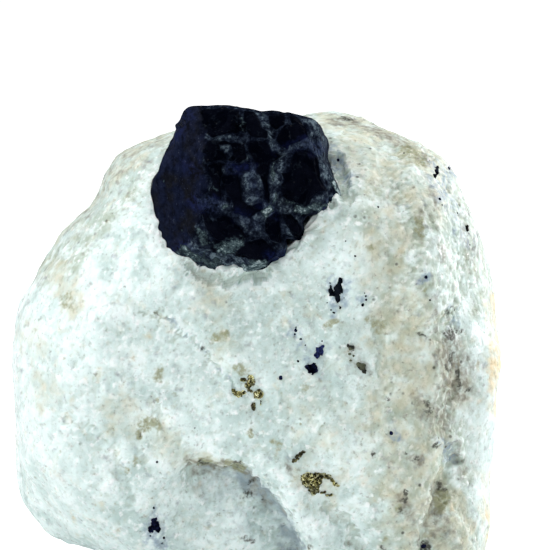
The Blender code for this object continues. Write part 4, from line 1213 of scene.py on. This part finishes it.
# Each lobe is a picture place, its half width and half height in pixels, its count of cubes and
# their size against the largest ones
PYRITE_LOBES = {
    "pyrite_cluster_low": [(308, 480, 5.8, 6.5, 110, 1.0), (315.5, 480, 5.8, 6.5, 100, 1.0),
                           (313.5, 489, 4.8, 5, 60, 0.9), (322, 475.5, 4, 1.6, 26, 0.7),
                           (328, 477, 3.2, 1.8, 20, 0.65), (332.5, 480.5, 2.2, 1.8, 14, 0.65),
                           (335, 484, 1.8, 1.5, 12, 0.6), (338, 486, 1.4, 0.7, 6, 0.5),
                           (323, 492.5, 3.6, 0.9, 14, 0.55), (329, 495, 4.4, 0.6, 16, 0.5)],
    "pyrite_cluster_high": [(251, 381, 3.6, 5, 54, 0.9), (243, 379.5, 3.6, 1.2, 12, 0.6),
                            (247.5, 386, 2.2, 2.2, 14, 0.8), (233.5, 390.5, 1.4, 2.6, 12, 0.6),
                            (239, 394, 4, 2.2, 28, 0.75), (243.5, 392, 2, 1.8, 12, 0.7),
                            (250, 390.5, 2, 1.2, 8, 0.6), (258.7, 394.3, 4.2, 4, 58, 0.85),
                            (260.8, 403, 0.3, 3.6, 8, 0.4)],
    "pyrite_grain": [(253.5, 407, 1.2, 3.2, 26, 0.8)],
    "pyrite_sliver": [(294, 460.8, 2.6, 1.3, 14, 0.6), (297.3, 457.6, 2.0, 2.2, 14, 0.6),
                      (300.3, 454.6, 1.8, 1.8, 12, 0.55), (303.2, 452, 1.8, 1.1, 10, 0.55)],
}
BRASS = (0.64, 0.59, 0.25)
PALE_BRASS = (1.0, 0.98, 0.64)
TARNISH_AND_SHADE = (0.030, 0.029, 0.014)
FACET_SIZE = 0.24
FACET_TONES = [(0.0, TARNISH_AND_SHADE), (0.40, (0.16, 0.145, 0.055)), (0.62, BRASS), (0.8, PALE_BRASS)]
DULL_TONES = [(0.0, TARNISH_AND_SHADE), (0.5, (0.09, 0.085, 0.055)), (0.8, (0.22, 0.20, 0.12)), (1.0, BRASS)]


def pyrite_material(name, facet_tones):
    material, tree, shader = new_material(name)
    place = place_in_mm(tree)
    tarnish = noise_value(tree, place, 0.8, 5.0)
    ridge = kept_mark(tree, "ridge")
    facet = add_node(tree, "ShaderNodeTexVoronoi", {"Vector": place, "Scale": 1.0 / FACET_SIZE})
    facet = add_node(tree, "ShaderNodeSeparateColor", {0: facet.outputs["Color"]}).outputs["Red"]
    colour = tones(tree, facet, facet_tones)
    colour = blended(tree, scaled_value(tree, tarnish, 0.48, 0.60, 0.0, 0.85), colour, TARNISH_AND_SHADE)
    # Painted shade: the creases between the cubes are darkened to near tarnish black.
    colour = blended(tree, scaled_value(tree, ridge, 0.0, -0.35, 0.0, 0.97), colour, TARNISH_AND_SHADE)
    tree.links.new(colour, shader.inputs["Base Color"])
    shader.inputs["Metallic"].default_value = 1.0
    tree.links.new(scaled_value(tree, tarnish, 0.4, 0.65, 0.18, 0.42), shader.inputs["Roughness"])
    leaning = use_group(tree, CALCITE_SUGAR, {"Place": place, "Grain Size": FACET_SIZE}).outputs["Relief"]
    bumped(tree, shader, leaning, 1.0, 0.45)
    return material


def add_cube(shape, across, down, share, chance):
    """One cube, turned any way, part sunk in the marble where the camera sees it."""
    spot, facing = seen_spot(across, down)
    half = chance.uniform(*CUBE_SIZES) * share
    axis = Vector((chance.gauss(0, 1), chance.gauss(0, 1), chance.gauss(0, 1))).normalized()
    place = Matrix.Translation((spot + facing * half * chance.uniform(*CUBE_SUNK)) * MM)
    turned = Matrix.Rotation(chance.uniform(0.0, math.pi), 4, axis)
    bmesh.ops.create_cube(shape, size=2.0 * half * MM, matrix=place @ turned)


brassy = pyrite_material("pyrite", FACET_TONES)
dull = pyrite_material("pyrite_dull", DULL_TONES)
for node_name, lobes in PYRITE_LOBES.items():
    chance = random.Random(node_name)
    shape = bmesh.new()
    for across, down, half_wide, half_high, count, share in lobes:
        for _ in range(count):
            angle, reach = chance.uniform(0.0, math.tau), math.sqrt(chance.uniform(0.0, LOBE_FILLED))
            add_cube(shape, across + half_wide * reach * math.cos(angle),
                     down + half_high * reach * math.sin(angle), share, chance)
    cluster = add_to_scene(node_name + "_piece", even_mesh(shape, node_name + "_cubes", CUBE_STEP))
    keep_marks(cluster.data, "ridge", ridges(cluster.data))
    clad(cluster, brassy if "cluster" in node_name else dull)
    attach(cluster, "root")
    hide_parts(node_name)
